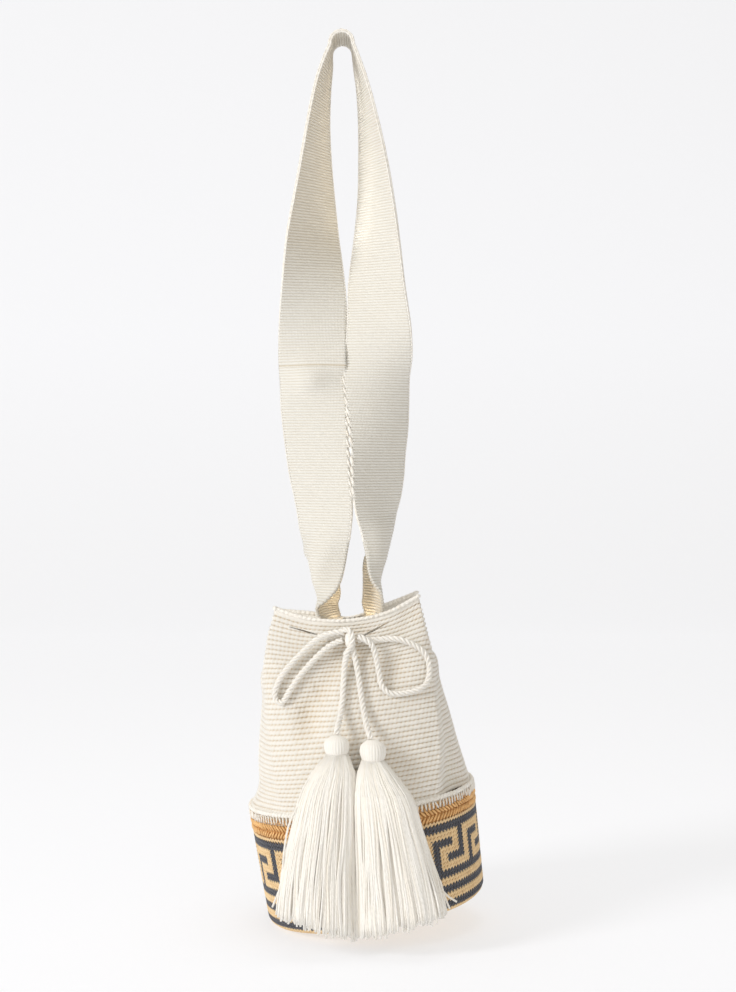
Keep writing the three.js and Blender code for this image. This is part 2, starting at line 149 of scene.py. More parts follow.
# %% Light
BAG = (0.02, 0, -0.5)
DAYLIGHT, CLOTH_GLOW = (1, 1, 1), (1, 0.84, 0.6)
LAMPS = [
    # name, place, aim, power, width, height, colour
    ("key", (-3.2, -2.4, 1.2), BAG, 98, 1.2, 1.2, DAYLIGHT),
    ("fill", (1.7, -1.6, 0.1), BAG, 2, 1.4, 1.4, DAYLIGHT),
    ("front", (0.35, -2.2, -0.1), BAG, 4.5, 1.5, 1.5, DAYLIGHT),
    ("top", (0.1, 0.1, 1.3), BAG, 7.5, 1.2, 1.2, DAYLIGHT),
    ("through the left leg", (0.003, 0.012, -0.095), (-1, 0.012, -0.095), 0.0022, 0.004, 0.15, CLOTH_GLOW),
    ("on the right leg", (0.003, 0.012, -0.105), (1, 0.012, -0.105), 0.0065, 0.004, 0.15, DAYLIGHT),
    ("from the mouth", (0.009, 0.002, -0.524), (0.010, 0, -0.44), 0.011, 0.03, 0.02, CLOTH_GLOW),
]
SKY_COLOUR, SKY_STRENGTH = (1, 0.955, 0.875, 1), 0.44

for name, place, aim, power, width, height, colour in LAMPS:
    turn = (Vector(aim) - Vector(place)).to_track_quat("-Z", "Y").to_euler()
    lamp = added(bpy.ops.object.light_add, type="AREA", location=place, rotation=turn)
    lamp.name = name
    lamp.data.energy = power
    lamp.data.color = colour
    lamp.data.shape = "RECTANGLE"
    lamp.data.size, lamp.data.size_y = width, height
    lamp.visible_camera = False
world = bpy.data.worlds.new("studio")
world.use_nodes = True
sky = world.node_tree.nodes["Background"]
sky.inputs["Color"].default_value = SKY_COLOUR
sky.inputs["Strength"].default_value = SKY_STRENGTH
bpy.context.scene.world = world
bpy.context.scene.view_settings.view_transform = "Standard"
print("lamps:", [name for name, *_ in LAMPS])

# %% [markdown]
# ## Finishes
# Cotton and straw are matt, and what tells them apart is their yarn. Two effects are shared, so each is a
# node group built once: the twist of a spun yarn, a diagonal wave over the piece's UV map, and the
# mottling of a natural fibre, a blend of two colours by noise and by a tone that the meshes carry with
# them. Besides its random variation, that tone holds painted shade in grooves, folds and hollows. The
# shaders stay in the materials, where their constant values are set on their own sockets.


# %% Shared effects
FUZZ_SCALE, FUZZ_DETAIL = 1800, 3
MOTTLE_DETAIL, MOTTLE_MIDDLE = 4, 0.45


def new_group(name, inputs, outputs):
    """An empty node group with its named sockets, and the nodes for what it is given and puts out."""
    group = bpy.data.node_groups.new(name, "ShaderNodeTree")
    for label, kind, value in inputs:
        group.interface.new_socket(label, in_out="INPUT", socket_type=kind).default_value = value
    for label, kind in outputs:
        group.interface.new_socket(label, in_out="OUTPUT", socket_type=kind)
    return group, group.nodes.new("NodeGroupInput"), group.nodes.new("NodeGroupOutput")


def math_node(tree, operation, first, second=None, clamp=False):
    """One sum in a node tree; each input is a number or another node's output."""
    node = tree.nodes.new("ShaderNodeMath")
    node.operation = operation
    node.use_clamp = clamp
    for socket, value in zip(node.inputs, (first, second)):
        if isinstance(value, (int, float)):
            socket.default_value = value
        elif value is not None:
            tree.links.new(value, socket)
    return node.outputs[0]


def noise_node(tree, scale, detail):
    """Noise over the piece's own Object coordinates."""
    node = tree.nodes.new("ShaderNodeTexNoise")
    node.inputs["Detail"].default_value = detail
    tree.links.new(tree.nodes.new("ShaderNodeTexCoord").outputs["Object"], node.inputs["Vector"])
    if isinstance(scale, (int, float)):
        node.inputs["Scale"].default_value = scale
    else:
        tree.links.new(scale, node.inputs["Scale"])
    return node.outputs["Fac"]


def yarn_twist_group():
    """The height of a spun yarn's diagonal wave, with a little fuzz on it."""
    group, given, out = new_group(
        "Yarn twist",
        [
            ("Around", "NodeSocketFloat", 2.0),
            ("Along", "NodeSocketFloat", 4.0),
            ("Fuzz", "NodeSocketFloat", 0.5),
        ],
        [("Height", "NodeSocketFloat")],
    )
    split = group.nodes.new("ShaderNodeSeparateXYZ")
    group.links.new(group.nodes.new("ShaderNodeTexCoord").outputs["UV"], split.inputs[0])
    across = math_node(group, "MULTIPLY", split.outputs["X"], given.outputs["Around"])
    along = math_node(group, "MULTIPLY", split.outputs["Y"], given.outputs["Along"])
    turns = math_node(group, "MULTIPLY", math_node(group, "ADD", across, along), 2 * math.pi)
    wave = math_node(group, "MULTIPLY", math_node(group, "SINE", turns), 0.5)
    fuzz = math_node(group, "MULTIPLY", noise_node(group, FUZZ_SCALE, FUZZ_DETAIL), given.outputs["Fuzz"])
    group.links.new(math_node(group, "ADD", wave, fuzz), out.inputs["Height"])
    return group


def fibre_tone_group():
    """A fibre's colour: a light and a darker colour, mixed by mottling and by the mesh's tone, which holds
    painted shade.
    """
    group, given, out = new_group(
        "Fibre tone",
        [
            ("Light", "NodeSocketColor", (0.9, 0.85, 0.75, 1)),
            ("Shade", "NodeSocketColor", (0.6, 0.5, 0.35, 1)),
            ("Mottle", "NodeSocketFloat", 0.25),
            ("Scale", "NodeSocketFloat", 60.0),
        ],
        [("Color", "NodeSocketColor")],
    )
    tone = group.nodes.new("ShaderNodeAttribute")
    tone.attribute_name = "tone"
    patches = noise_node(group, given.outputs["Scale"], MOTTLE_DETAIL)
    patches = math_node(group, "SUBTRACT", patches, MOTTLE_MIDDLE)
    mottle = math_node(group, "MULTIPLY", patches, given.outputs["Mottle"])
    share = math_node(group, "ADD", mottle, tone.outputs["Fac"], clamp=True)
    mix = group.nodes.new("ShaderNodeMix")
    mix.data_type = "RGBA"
    group.links.new(share, mix.inputs["Factor"])
    group.links.new(given.outputs["Light"], mix.inputs["A"])
    group.links.new(given.outputs["Shade"], mix.inputs["B"])
    group.links.new(mix.outputs["Result"], out.inputs["Color"])
    return group


YARN_TWIST = yarn_twist_group()
FIBRE_TONE = fibre_tone_group()
print("groups:", YARN_TWIST.name, "and", FIBRE_TONE.name)

# %% Materials
# Each pair is a fibre's light colour and the darker one that random tone and painted shade mix in.
CREAM = ((0.95, 0.915, 0.85), (0.74, 0.58, 0.37))
WEBBING = ((0.84, 0.82, 0.765), (0.66, 0.57, 0.43))
WHITE = ((0.94, 0.91, 0.855), (0.80, 0.70, 0.53))
TAN = ((0.90, 0.67, 0.39), (0.66, 0.43, 0.20))
CHARCOAL = ((0.105, 0.108, 0.125), (0.05, 0.05, 0.06))
BROWN = ((0.92, 0.57, 0.25), (0.55, 0.27, 0.08))
FIBRES = [
    # name, colours, mottle, its scale, roughness, sheen, twist around, twist along, fuzz, depth
    ("cream crochet", CREAM, 0.2, 90, 0.9, 0.3, 420, 168, 0.6, 0.25),
    ("cream stitch", CREAM, 0.2, 90, 0.9, 0.3, 2, 3, 0.6, 0.25),
    ("cream webbing", WEBBING, 0.15, 60, 0.88, 0.25, 96, 0, 0.5, 0.2),
    ("white rope", WHITE, 0.15, 120, 0.88, 0.3, 9, 6, 0.6, 0.2),
    ("white yarn", WHITE, 0.15, 200, 0.85, 0.3, 2, 22, 0.4, 0.12),
    ("tan straw", TAN, 0.35, 140, 0.62, 0.05, 3, 2, 0.6, 0.2),
    ("charcoal straw", CHARCOAL, 0.4, 140, 0.6, 0.25, 3, 2, 0.6, 0.2),
    ("brown straw", BROWN, 0.4, 140, 0.55, 0.05, 3, 2, 0.6, 0.2),
]
FIBRE_SHEEN_ROUGHNESS, FIBRE_SPECULAR = 0.45, 0.25
PAPER = {
    "Base Color": (0.40, 0.405, 0.43, 1),
    "Roughness": 0.9,
    "Emission Color": (1, 1, 1, 1),
    "Emission Strength": 0.585,
}


def new_material(name, values):
    """A material, and its Principled shader with constant values on its sockets."""
    material = bpy.data.materials.new(name)
    material.use_nodes = True
    shader = material.node_tree.nodes["Principled BSDF"]
    for label, value in values.items():
        shader.inputs[label].default_value = value
    return material, shader


def place_group(tree, group, **values):
    """A shared effect, placed in a material with its own values."""
    node = tree.nodes.new("ShaderNodeGroup")
    node.node_tree = group
    for label, value in values.items():
        node.inputs[label].default_value = value
    return node


def fibre(name, colours, mottle, scale, roughness, sheen, around, along, fuzz, depth):
    """A matt fibre: two colours by the tone group, and the twist of its yarn as a bump."""
    material, shader = new_material(
        name,
        {
            "Roughness": roughness,
            "Sheen Weight": sheen,
            "Sheen Roughness": FIBRE_SHEEN_ROUGHNESS,
            "Specular IOR Level": FIBRE_SPECULAR,
        },
    )
    tree = material.node_tree
    light, shade = ((*colour, 1) for colour in colours)
    tone = place_group(tree, FIBRE_TONE, Light=light, Shade=shade, Mottle=mottle, Scale=scale)
    tree.links.new(tone.outputs["Color"], shader.inputs["Base Color"])
    twist = place_group(tree, YARN_TWIST, Around=around, Along=along, Fuzz=fuzz)
    bump = tree.nodes.new("ShaderNodeBump")
    bump.inputs["Distance"].default_value = depth * MM
    tree.links.new(twist.outputs["Height"], bump.inputs["Height"])
    tree.links.new(bump.outputs["Normal"], shader.inputs["Normal"])
    return material


finishes = {row[0]: fibre(*row) for row in FIBRES}
floor.data.materials.append(new_material("studio paper", PAPER)[0])
print("finishes:", ", ".join(finishes))

# %% [markdown]
# ## Making meshes
# Soft sheets start as a grid primitive, whose UV map then follows the weave, and its vertices are moved
# onto the shape. Stitches are modelled once, as a small sphere, and copied by the hundred into one joined
# mesh, each copy with its own direction and tone. These helpers do that for every piece.


# %% Helpers for sheets and stitches
UV_STEP = 0.618
MERGE = 1e-6


def dress(piece, finish, node):
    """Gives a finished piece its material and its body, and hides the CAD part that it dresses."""
    piece.data.materials.append(finishes[finish])
    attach(piece, "root")
    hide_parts(node)
    piece.data.calc_loop_triangles()
    print(f"{piece.name}: {len(piece.data.loop_triangles)} triangles")
    return piece


def give_tone(mesh, tones):
    """Stores a tone at each vertex, random or painted shade: 0 gives the light colour, 1 the darker one."""
    layer = mesh.attributes.new("tone", "FLOAT", "POINT")
    layer.data.foreach_set("value", np.asarray(tones).astype(np.float32).ravel())


def grid_sheet(name, points, tone):
    """A grid primitive with its vertices moved to points[row, column], in millimetres."""
    rows, columns = points.shape[:2]
    cuts = {"x_subdivisions": columns - 1, "y_subdivisions": rows - 1}
    piece = added(bpy.ops.mesh.primitive_grid_add, calc_uvs=True, **cuts)
    piece.name = piece.data.name = name
    piece.data.vertices.foreach_set("co", (points * MM).astype(np.float32).ravel())
    give_tone(piece.data, tone)
    piece.data.update()
    return piece


def sew(piece):
    """Joins the edges of a sheet that meet, turns its faces outwards and smooths it."""
    only(piece)
    with edit_mode():
        bpy.ops.mesh.select_all(action="SELECT")
        bpy.ops.mesh.remove_doubles(threshold=MERGE)
        bpy.ops.mesh.normals_make_consistent(inside=False)
    bpy.ops.object.shade_smooth()
    return piece


def joined_mesh(name, points, corners, starts, uvs, tones):
    """One mesh from many like parts: points[part, vertex], and the faces and UVs of a single part."""
    parts, count = points.shape[:2]
    mesh = bpy.data.meshes.new(name)
    order = np.arange(parts)[:, None]
    mesh.vertices.add(parts * count)
    mesh.vertices.foreach_set("co", (points * MM).astype(np.float32).ravel())
    mesh.loops.add(parts * len(corners))
    mesh.loops.foreach_set("vertex_index", (corners[None] + order * count).astype(np.int32).ravel())
    mesh.polygons.add(parts * len(starts))
    mesh.polygons.foreach_set("loop_start", (starts[None] + order * len(corners)).astype(np.int32).ravel())
    mesh.update(calc_edges=True)
    start = np.stack([np.zeros(parts), np.arange(parts) * UV_STEP % 1], axis=-1)
    layer = mesh.uv_layers.new(name="UVMap")
    layer.data.foreach_set("uv", (uvs[None] + start[:, None]).astype(np.float32).ravel())
    give_tone(mesh, np.repeat(tones, count))
    mesh.shade_smooth()
    piece = bpy.data.objects.new(name, mesh)
    bpy.context.scene.collection.objects.link(piece)
    return piece


def join(name, pieces):
    """Joins pieces into one mesh under a new name."""
    only(pieces[0])
    for piece in pieces:
        piece.select_set(True)
    bpy.ops.object.join()
    pieces[0].name = pieces[0].data.name = name
    return pieces[0]


def stitch_model(sides, rings):
    """One plump stitch, modelled as a small sphere, as points, corners, face starts and UVs."""
    ball = added(
        bpy.ops.mesh.primitive_uv_sphere_add, segments=sides, ring_count=rings, radius=1, calc_uvs=True
    )
    points = np.array([v.co for v in ball.data.vertices])
    corners = np.array([i for face in ball.data.polygons for i in face.vertices])
    starts = np.array([face.loop_start for face in ball.data.polygons])
    uvs = np.array([corner.uv for corner in ball.data.uv_layers.active.data])
    bpy.data.objects.remove(ball)
    return points, corners, starts, uvs


def unit(vectors):
    """Vectors brought to a length of one."""
    return vectors / np.maximum(np.linalg.norm(vectors, axis=-1, keepdims=True), 1e-12)


def stitches(name, model, centres, along, outward, sizes, tones):
    """Copies of a stitch that lie along and face outward; sizes are half width, depth and length."""
    along = unit(along)
    across = unit(np.cross(outward, along))
    deep = np.cross(along, across)
    axes = np.stack([across * sizes[0], deep * sizes[1], along * sizes[2]], axis=1)
    points = centres[:, None] + np.einsum("kj,njc->nkc", model[0], axes)
    return joined_mesh(name, points, *model[1:], tones)


STITCH = stitch_model(sides=5, rings=4)
SMALL_STITCH = stitch_model(sides=5, rings=3)
rng = np.random.default_rng(7)


def varied(mean, spread, most, shape, play=rng):
    """Tones that vary about a mean, from 0 to the most."""
    return np.clip(play.normal(mean, spread, shape), 0, most)


print("stitch:", len(STITCH[0]), "points")


# %% Helpers for curves
FINE_STEPS = 40


def smooth_columns(rows, places):
    """The columns of a table, interpolated smoothly over its first column."""
    table = np.array(rows, float)
    at, values = table[:, 0], table[:, 1:]
    places = np.asarray(places, float)
    high = np.clip(np.searchsorted(at, places, side="right"), 1, len(at) - 1)
    low = high - 1
    before = np.where(low > 0, low - 1, high)
    after = np.where(high < len(at) - 1, np.minimum(high + 1, len(at) - 1), low)
    gap = at[high] - at[low]
    pull = gap / 2 / (at[low] - at[before])
    push = gap / 2 / (at[after] - at[high])
    p = (places - at[low]) / gap
    shares = [
        (before, pull * (-(p**3) + 2 * p**2 - p)),
        (low, (1 + pull) * p**3 - (1.5 + 2 * pull) * p**2 + (pull - 0.5) * p + 1),
        (high, -(1 + push) * p**3 + (1.5 + push) * p**2 + 0.5 * p),
        (after, push * (p**3 - p**2)),
    ]
    return sum(share[:, None] * values[index] for index, share in shares).T


def spline(knots, places, closed=False):
    """A smooth curve through knots[..., k, 3] at places counted in knots."""
    count = knots.shape[-2]
    low = np.floor(places).astype(int)
    if closed:
        corner = [knots[..., (low + i) % count, :] for i in (-1, 0, 1, 2)]
    else:
        low = np.clip(low, 0, count - 2)
        first = 2 * knots[..., :1, :] - knots[..., 1:2, :]
        last = 2 * knots[..., -1:, :] - knots[..., -2:-1, :]
        longer = np.concatenate([first, knots, last], axis=-2)
        corner = [longer[..., low + i, :] for i in range(4)]
    part = (places - low)[:, None]
    a, b, c, d = corner
    gap = [
        np.sqrt(np.maximum(np.linalg.norm(q - p, axis=-1, keepdims=True), 1e-9))
        for p, q in ((a, b), (b, c), (c, d))
    ]
    leave = ((b - a) / gap[0] - (c - a) / (gap[0] + gap[1]) + (c - b) / gap[1]) * gap[1]
    arrive = ((c - b) / gap[1] - (d - b) / (gap[1] + gap[2]) + (d - c) / gap[2]) * gap[1]
    second = 3 * (c - b) - 2 * leave - arrive
    third = 2 * (b - c) + leave + arrive
    return b + leave * part + second * part**2 + third * part**3


def lengths_along(line):
    """How far along a line each of its points is."""
    steps = np.linalg.norm(np.diff(line, axis=0), axis=1)
    return np.concatenate([[0], np.cumsum(steps)])


def evenly(line, shares):
    """Points at shares of a line's length."""
    at = lengths_along(line)
    return np.stack([np.interp(shares * at[-1], at, line[:, k]) for k in range(3)], axis=-1)


print("curve helpers ready")

# %% [markdown]
# ## The crocheted upper
# The upper is one tube of single crochet. Its sections are tables: the front panel, the folded side that
# the strap is sewn to, and the lean of the whole. A grid is wrapped round those sections. Five grid rows
# make one crochet row and three columns one stitch, and each vertex is raised or sunk along the surface's
# normal, so the ridges and the gaps between stitches are real shape. The dents are where the drawn cord
# gathers the front.

# %% Sections of the upper
BASE_RIM = np.array([17.8, 0, -679.4])
WALL_FOOT = 0.35
FOOT_RADIUS = 98.5
FOOT_FADE = 30
LEFT_TALLER = 8
SIDE_DEPTH = 30
PANEL_POINT = 0.55
MOUTH_RISE = 180
WALL_SECTIONS = [
    # rise, x, lean, front, fold_x, fold_y, near_x, mid_x, far_x, slip, dip
    (0, 17.8, 9.0, 98.5, 64.6, 74.3, 93.8, 98.5, 93.8, 0, 0),
    (17, 15.4, 8.6, 95, 68.5, 71, 91.5, 95.5, 91.5, 0, 0),
    (39, 13.8, 8.0, 89, 70.5, 66, 87, 90.5, 87, 0, 0),
    (69, 10.9, 7.0, 81, 72, 60, 82, 85.5, 82, 0, 0.02),
    (99, 8.0, 6.0, 72, 72, 54, 77.5, 80, 77, 0, 0.06),
    (127, 5.6, 5.0, 63.5, 73, 48.5, 75, 77, 73, 0, 0.2),
    (141, 4.8, 4.7, 59.5, 72, 46, 66, 64, 60, 1, 0.4),
    (154, 4.2, 4.4, 56, 70, 43, 51, 46, 42, 2, 0.6),
    (180, 4.2, 3.8, 49, 64.2, 38, 27, 18.5, 12.5, 4, 1),
]
RIM_DIPS = np.array([18.5, 14, 2.2, 20, 22, 22, 5, 14.5, 25, 17.5, 13, 22, 22, 21, 4, 14.5])
KNOTS_ROUND = len(RIM_DIPS)
DENTS = [
    # x, rise, wide, tall, deep
    (3, 155, 17, 16, 7),
    (4, 138, 16, 12, 3),
    (10, 112, 12, 34, 1.5),
    (-12, 125, 10, 13, 4),
    (-24, 107, 10, 15, 5.5),
    (-36, 86, 11, 18, 7),
    (58, 172, 14, 14, 3),
    (38, 120, 14, 17, 4),
    (36, 30, 26, 22, 3),
]
FOLDS = [
    # place, wide, sharpness, rise, tall, out
    (2.0, 0.17, 1, 35, 62, 3.6),
    (2.7, 0.42, 2, 50, 40, -3.4),
    (14.0, 0.17, 1, 35, 62, 1.8),
    (12.4, 1.3, 2, 1, 5, 2.4),
    (12.0, 1.6, 2, 20, 17, -5),
    (2.6, 0.4, 2, 15, 22, -7),
]


def wall_points(rises, places):
    """Points of the upper's outside: one row for each rise, one column for each place, counted in knots."""
    rises = np.asarray(rises, float)
    x, lean, front, fold_x, fold_y, near_x, mid_x, far_x, slip, dip = smooth_columns(WALL_SECTIONS, rises)
    panel_y = front - (front - fold_y) * PANEL_POINT**2
    none = np.zeros_like(x)
    half = [
        (PANEL_POINT * fold_x, -panel_y, none),
        (fold_x, -fold_y, none),
        (near_x, none - SIDE_DEPTH, slip),
        (mid_x, none, slip),
        (far_x, none + SIDE_DEPTH, slip),
        (fold_x, fold_y, none),
        (PANEL_POINT * fold_x, panel_y, none),
    ]
    outline = [(none, -front, none), *half, (none, front, none)]
    outline += [(-across, deep, shift) for across, deep, shift in reversed(half)]
    knots = np.stack(
        [np.stack([a + s, d, -RIM_DIPS[i] * dip], axis=-1) for i, (a, d, s) in enumerate(outline)], axis=1
    )
    ring = spline(knots, np.asarray(places, float), closed=True)
    for dent_x, dent_rise, wide, tall, deep in DENTS:
        fade = np.exp(-(((ring[..., 0] - dent_x) / wide) ** 2) - ((rises[:, None] - dent_rise) / tall) ** 2)
        ring[..., 1] += np.where(ring[..., 1] < 0, deep * fade, 0)
    for place, wide, sharpness, fold_rise, tall, out in FOLDS:
        near = np.exp(-((np.abs(np.asarray(places) % KNOTS_ROUND - place) / wide) ** sharpness))
        fade = near[None] * np.exp(-(((rises - fold_rise) / tall) ** 2))[:, None]
        ring[..., :2] += unit(ring[..., :2]) * (out * fade)[..., None]
    turn = np.radians(lean)[:, None]
    fade = np.exp(-((rises / FOOT_FADE) ** 2))[:, None]
    foot = LEFT_TALLER * (1 - ring[..., 0] / FOOT_RADIUS) / 2 * fade
    across, up = ring[..., 0], ring[..., 2] + foot
    return np.stack(
        [
            x[:, None] + across * np.cos(turn) - up * np.sin(turn),
            ring[..., 1],
            BASE_RIM[2] + WALL_FOOT + rises[:, None] + across * np.sin(turn) + up * np.cos(turn),
        ],
        axis=-1,
    )


def sheet_normals(points, closed):
    """Outward normals of a grid of points, from its neighbours across and along."""
    if closed:
        across = np.roll(points, -1, axis=1) - np.roll(points, 1, axis=1)
    else:
        across = np.gradient(points, axis=1)
    return unit(np.cross(across, np.gradient(points, axis=0)))


print("sections:", len(WALL_SECTIONS), "knots:", KNOTS_ROUND)

# %% Crochet of the upper
CROCHET_ROWS = 42
CROCHET_STITCHES = 140
ROW_PHASES = np.array([0, 0.13, 0.38, 0.64, 0.88])
ROW_HEIGHTS = np.array([-0.78, 0.18, 0.66, 0.62, 0.0])
STITCH_HEIGHTS = np.array([-0.66, 0.14, 0.0])
NOTCH_SHARES = np.array([1.45, 0.95, 0.8, 0.8, 1.0])
ROW_STEPS, STITCH_STEPS = len(ROW_HEIGHTS), len(STITCH_HEIGHTS)
STITCH_LEAN = 0.4
STITCH_PLAY = 0.07
RING_STEPS = 24
LIP_ROWS, LIP_HEIGHT, LIP_RAISE = 4, 0.2, np.array([0, 0, 1.1])
CLOTH = 2.6
INSIDE_ROWS = 15

row_places = np.append((np.arange(CROCHET_ROWS)[:, None] + ROW_PHASES).ravel(), CROCHET_ROWS)
rises = row_places * MOUTH_RISE / CROCHET_ROWS
columns = CROCHET_STITCHES * STITCH_STEPS
rings = wall_points(rises, np.linspace(0, KNOTS_ROUND, KNOTS_ROUND * RING_STEPS + 1))
shares = (np.arange(columns) / columns + STITCH_LEAN * row_places[:, None] / CROCHET_STITCHES) % 1
outside = np.stack([evenly(ring, share) for ring, share in zip(rings, shares)])
normals = sheet_normals(outside, closed=True)
phase = np.append(np.tile(np.arange(ROW_STEPS), CROCHET_ROWS), 0)
notches = NOTCH_SHARES[phase][:, None] * np.tile(STITCH_HEIGHTS, CROCHET_STITCHES)
height = ROW_HEIGHTS[phase][:, None] + notches
pull = rng.normal(0, STITCH_PLAY, (CROCHET_ROWS + 1, CROCHET_STITCHES))
pull = np.repeat(np.repeat(pull, STITCH_STEPS, axis=1), ROW_STEPS, axis=0)
height = height + pull[: len(height)]
height[-LIP_ROWS:] = LIP_HEIGHT
outer = outside + normals * height[..., None]
crest = outside[-1:] - normals[-1:] * CLOTH / 2 + LIP_RAISE
inside_rows = np.linspace(len(outside) - 1, 0, INSIDE_ROWS).astype(int)
inner = outside[inside_rows] - normals[inside_rows] * CLOTH
shell = np.concatenate([outer, crest, inner, outer[:1]])
shell = np.concatenate([shell, shell[:, :1]], axis=1)
print("crochet:", CROCHET_ROWS, "rows of", CROCHET_STITCHES, "stitches")

# %% Tone of the upper: painted shade in its grooves, dents and inside
GROOVE_FROM, GROOVE_RANGE, GROOVE_PAINTED_SHADE = 0.25, 1.7, 0.88
DENT_SHIFT, DEEPEST_DENT = 6, 7
DENT_GROOVE_PAINTED_SHADE, DENT_PAINTED_SHADE, INSIDE_PAINTED_SHADE = 0.4, 0.14, 0.8

# Painted shade: the grooves between rows and stitches, the dents where the cord draws the front in, and the
# inside of the wall are made darker and warmer in colour.
drawn = 0
for x, rise, wide, tall, deep in DENTS:
    from_x = (outside[..., 0] - DENT_SHIFT - x) / wide
    from_rise = (rises[:, None] - rise) / tall
    drawn = drawn + np.exp(-(from_x**2) - from_rise**2) * deep / DEEPEST_DENT
drawn = np.where(outside[..., 1] < 0, drawn, 0)
painted_groove_shade = np.clip((GROOVE_FROM - height) / GROOVE_RANGE, 0, 1)
painted_groove_shade = painted_groove_shade * (GROOVE_PAINTED_SHADE + DENT_GROOVE_PAINTED_SHADE * drawn) + DENT_PAINTED_SHADE * drawn
inside_painted_shade = np.full((INSIDE_ROWS, columns), INSIDE_PAINTED_SHADE)
tone = np.concatenate([painted_groove_shade, np.zeros((1, columns)), inside_painted_shade, painted_groove_shade[:1]])
upper = sew(grid_sheet("bag_upper_crochet", shell, np.concatenate([tone, tone[:, :1]], axis=1)))
print("upper:", shell.shape, "points")

# %% [markdown]
# The drawstring leaves the bag by two slits in the front. Each is cut with a Boolean: a small outline,
# extruded through the wall and taken away, leaves a clean slot with real thickness at its edges.

# %% Slits
SLITS = [
    # outer end, a point it runs towards, half heights along it
    ((-45.2, -521.5), (-16.1, -529.3), [(0, 0.3), (14, 0.62), (22, 0.6), (27, 0.35)]),
    ((40.8, -517.4), (17.1, -530), [(0, 0.4), (13, 0.9), (20, 0.85), (25, 0.4)]),
]
SLIT_FRONT, SLIT_DEPTH = -64, 26


def slit_cutter(start, towards, halves):
    """A plate with the slit's outline, upright and running back through the wall."""
    outline = [(along, -half) for along, half in halves]
    outline += [(along, half) for along, half in reversed(halves)]
    turn = math.atan2(towards[1] - start[1], towards[0] - start[0])
    plate = added(bpy.ops.mesh.primitive_circle_add, vertices=len(outline), fill_type="NGON")
    for vertex, (along, side) in zip(plate.data.vertices, outline):
        x = start[0] + along * math.cos(turn) - side * math.sin(turn)
        z = start[1] + along * math.sin(turn) + side * math.cos(turn)
        vertex.co = Vector((x, SLIT_FRONT, z)) * MM
    with edit_mode():
        bpy.ops.mesh.select_all(action="SELECT")
        bpy.ops.mesh.extrude_region_move(TRANSFORM_OT_translate={"value": (0, SLIT_DEPTH * MM, 0)})
        bpy.ops.mesh.select_all(action="SELECT")
        bpy.ops.mesh.normals_make_consistent(inside=False)
    return plate


for slit in SLITS:
    plate = slit_cutter(*slit)
    cut = upper.modifiers.new("slit", "BOOLEAN")
    cut.operation = "DIFFERENCE"
    cut.solver = "EXACT"
    cut.object = plate
    only(upper)
    bpy.ops.object.modifier_apply(modifier=cut.name)
    bpy.data.objects.remove(plate)
dress(upper, "cream crochet", "bag_upper")

# %% [markdown]
# A chain of plump stitches finishes the mouth, as the last round of crochet does. It follows the crest of
# the wall, one stitch for each stitch below it, so it is laid along the points that are there already.

# %% Chain round the mouth
RIM_SIZES = (2.2, 2.0, 4.0)
RIM_OUT, RIM_UP = 0.8, np.array([0, 0, 0.8])
UPWARD = np.array([0, 0, 1.0])

rim_normals = normals[-1, 1::STITCH_STEPS]
rim = crest[0, 1::STITCH_STEPS] + rim_normals * RIM_OUT + RIM_UP
along = np.roll(rim, -1, axis=0) - np.roll(rim, 1, axis=0)
tones = varied(0.04, 0.05, 0.3, len(rim))
chain = stitches("bag_upper_rim", STITCH, rim, along, rim_normals + UPWARD, RIM_SIZES, tones)
dress(chain, "cream stitch", "bag_upper")

# %% [markdown]
# ## The basket base
# The basket is worked round and round in straw, two colours at a time, so its pattern is made of V
# stitches. The key pattern is a small chart of six columns, repeated round the wall. A turned shell
# closes the basket behind the stitches: a cylinder without its top face, its bottom edge bevelled and its
# wall solidified.

# %% Basket shell
BASE = {"tilt": 9, "height": 98, "top": 101, "bottom": 97, "corner": 9}
JOIN_HEIGHT, BRAID_HEIGHT, GAP = 8, 13, 0.35
BASKET_TOP = -JOIN_HEIGHT - GAP - BRAID_HEIGHT - GAP
SHELL_SINK, SHELL_THICK, SHELL_PAINTED_SHADE = 0.9, 2, 0.7
SHELL_SIDES, CORNER_STEPS = 96, 6
LOW_SHIFT, RISE_LIMIT = -1.8, 1.1


def wall_radius(z):
    """The basket's radius at a height on its own axis."""
    return BASE["top"] + (BASE["bottom"] - BASE["top"]) * -np.asarray(z, float) / BASE["height"]


def turned(vectors):
    """Directions given about the basket's own axis, turned with the basket."""
    turn = math.radians(BASE["tilt"])
    sine, cosine = math.sin(turn), math.cos(turn)
    x, y, z = np.moveaxis(np.asarray(vectors, float), -1, 0)
    return np.stack([x * cosine - z * sine, y, x * sine + z * cosine], -1)


def tilted(points):
    """Points about the basket's own axis, placed in the bag's frame; the left is drawn up a little."""
    x, y, z = np.moveaxis(np.asarray(points, float), -1, 0)
    rise = np.clip(1 + z / BASE["height"], 0, RISE_LIMIT)
    leftward = (1 - x / np.maximum(np.hypot(x, y), 1)) / 2
    drawn_up = z + LEFT_TALLER * leftward * rise**2
    return turned(np.stack([x + LOW_SHIFT * (1 - rise), y, drawn_up], -1)) + BASE_RIM


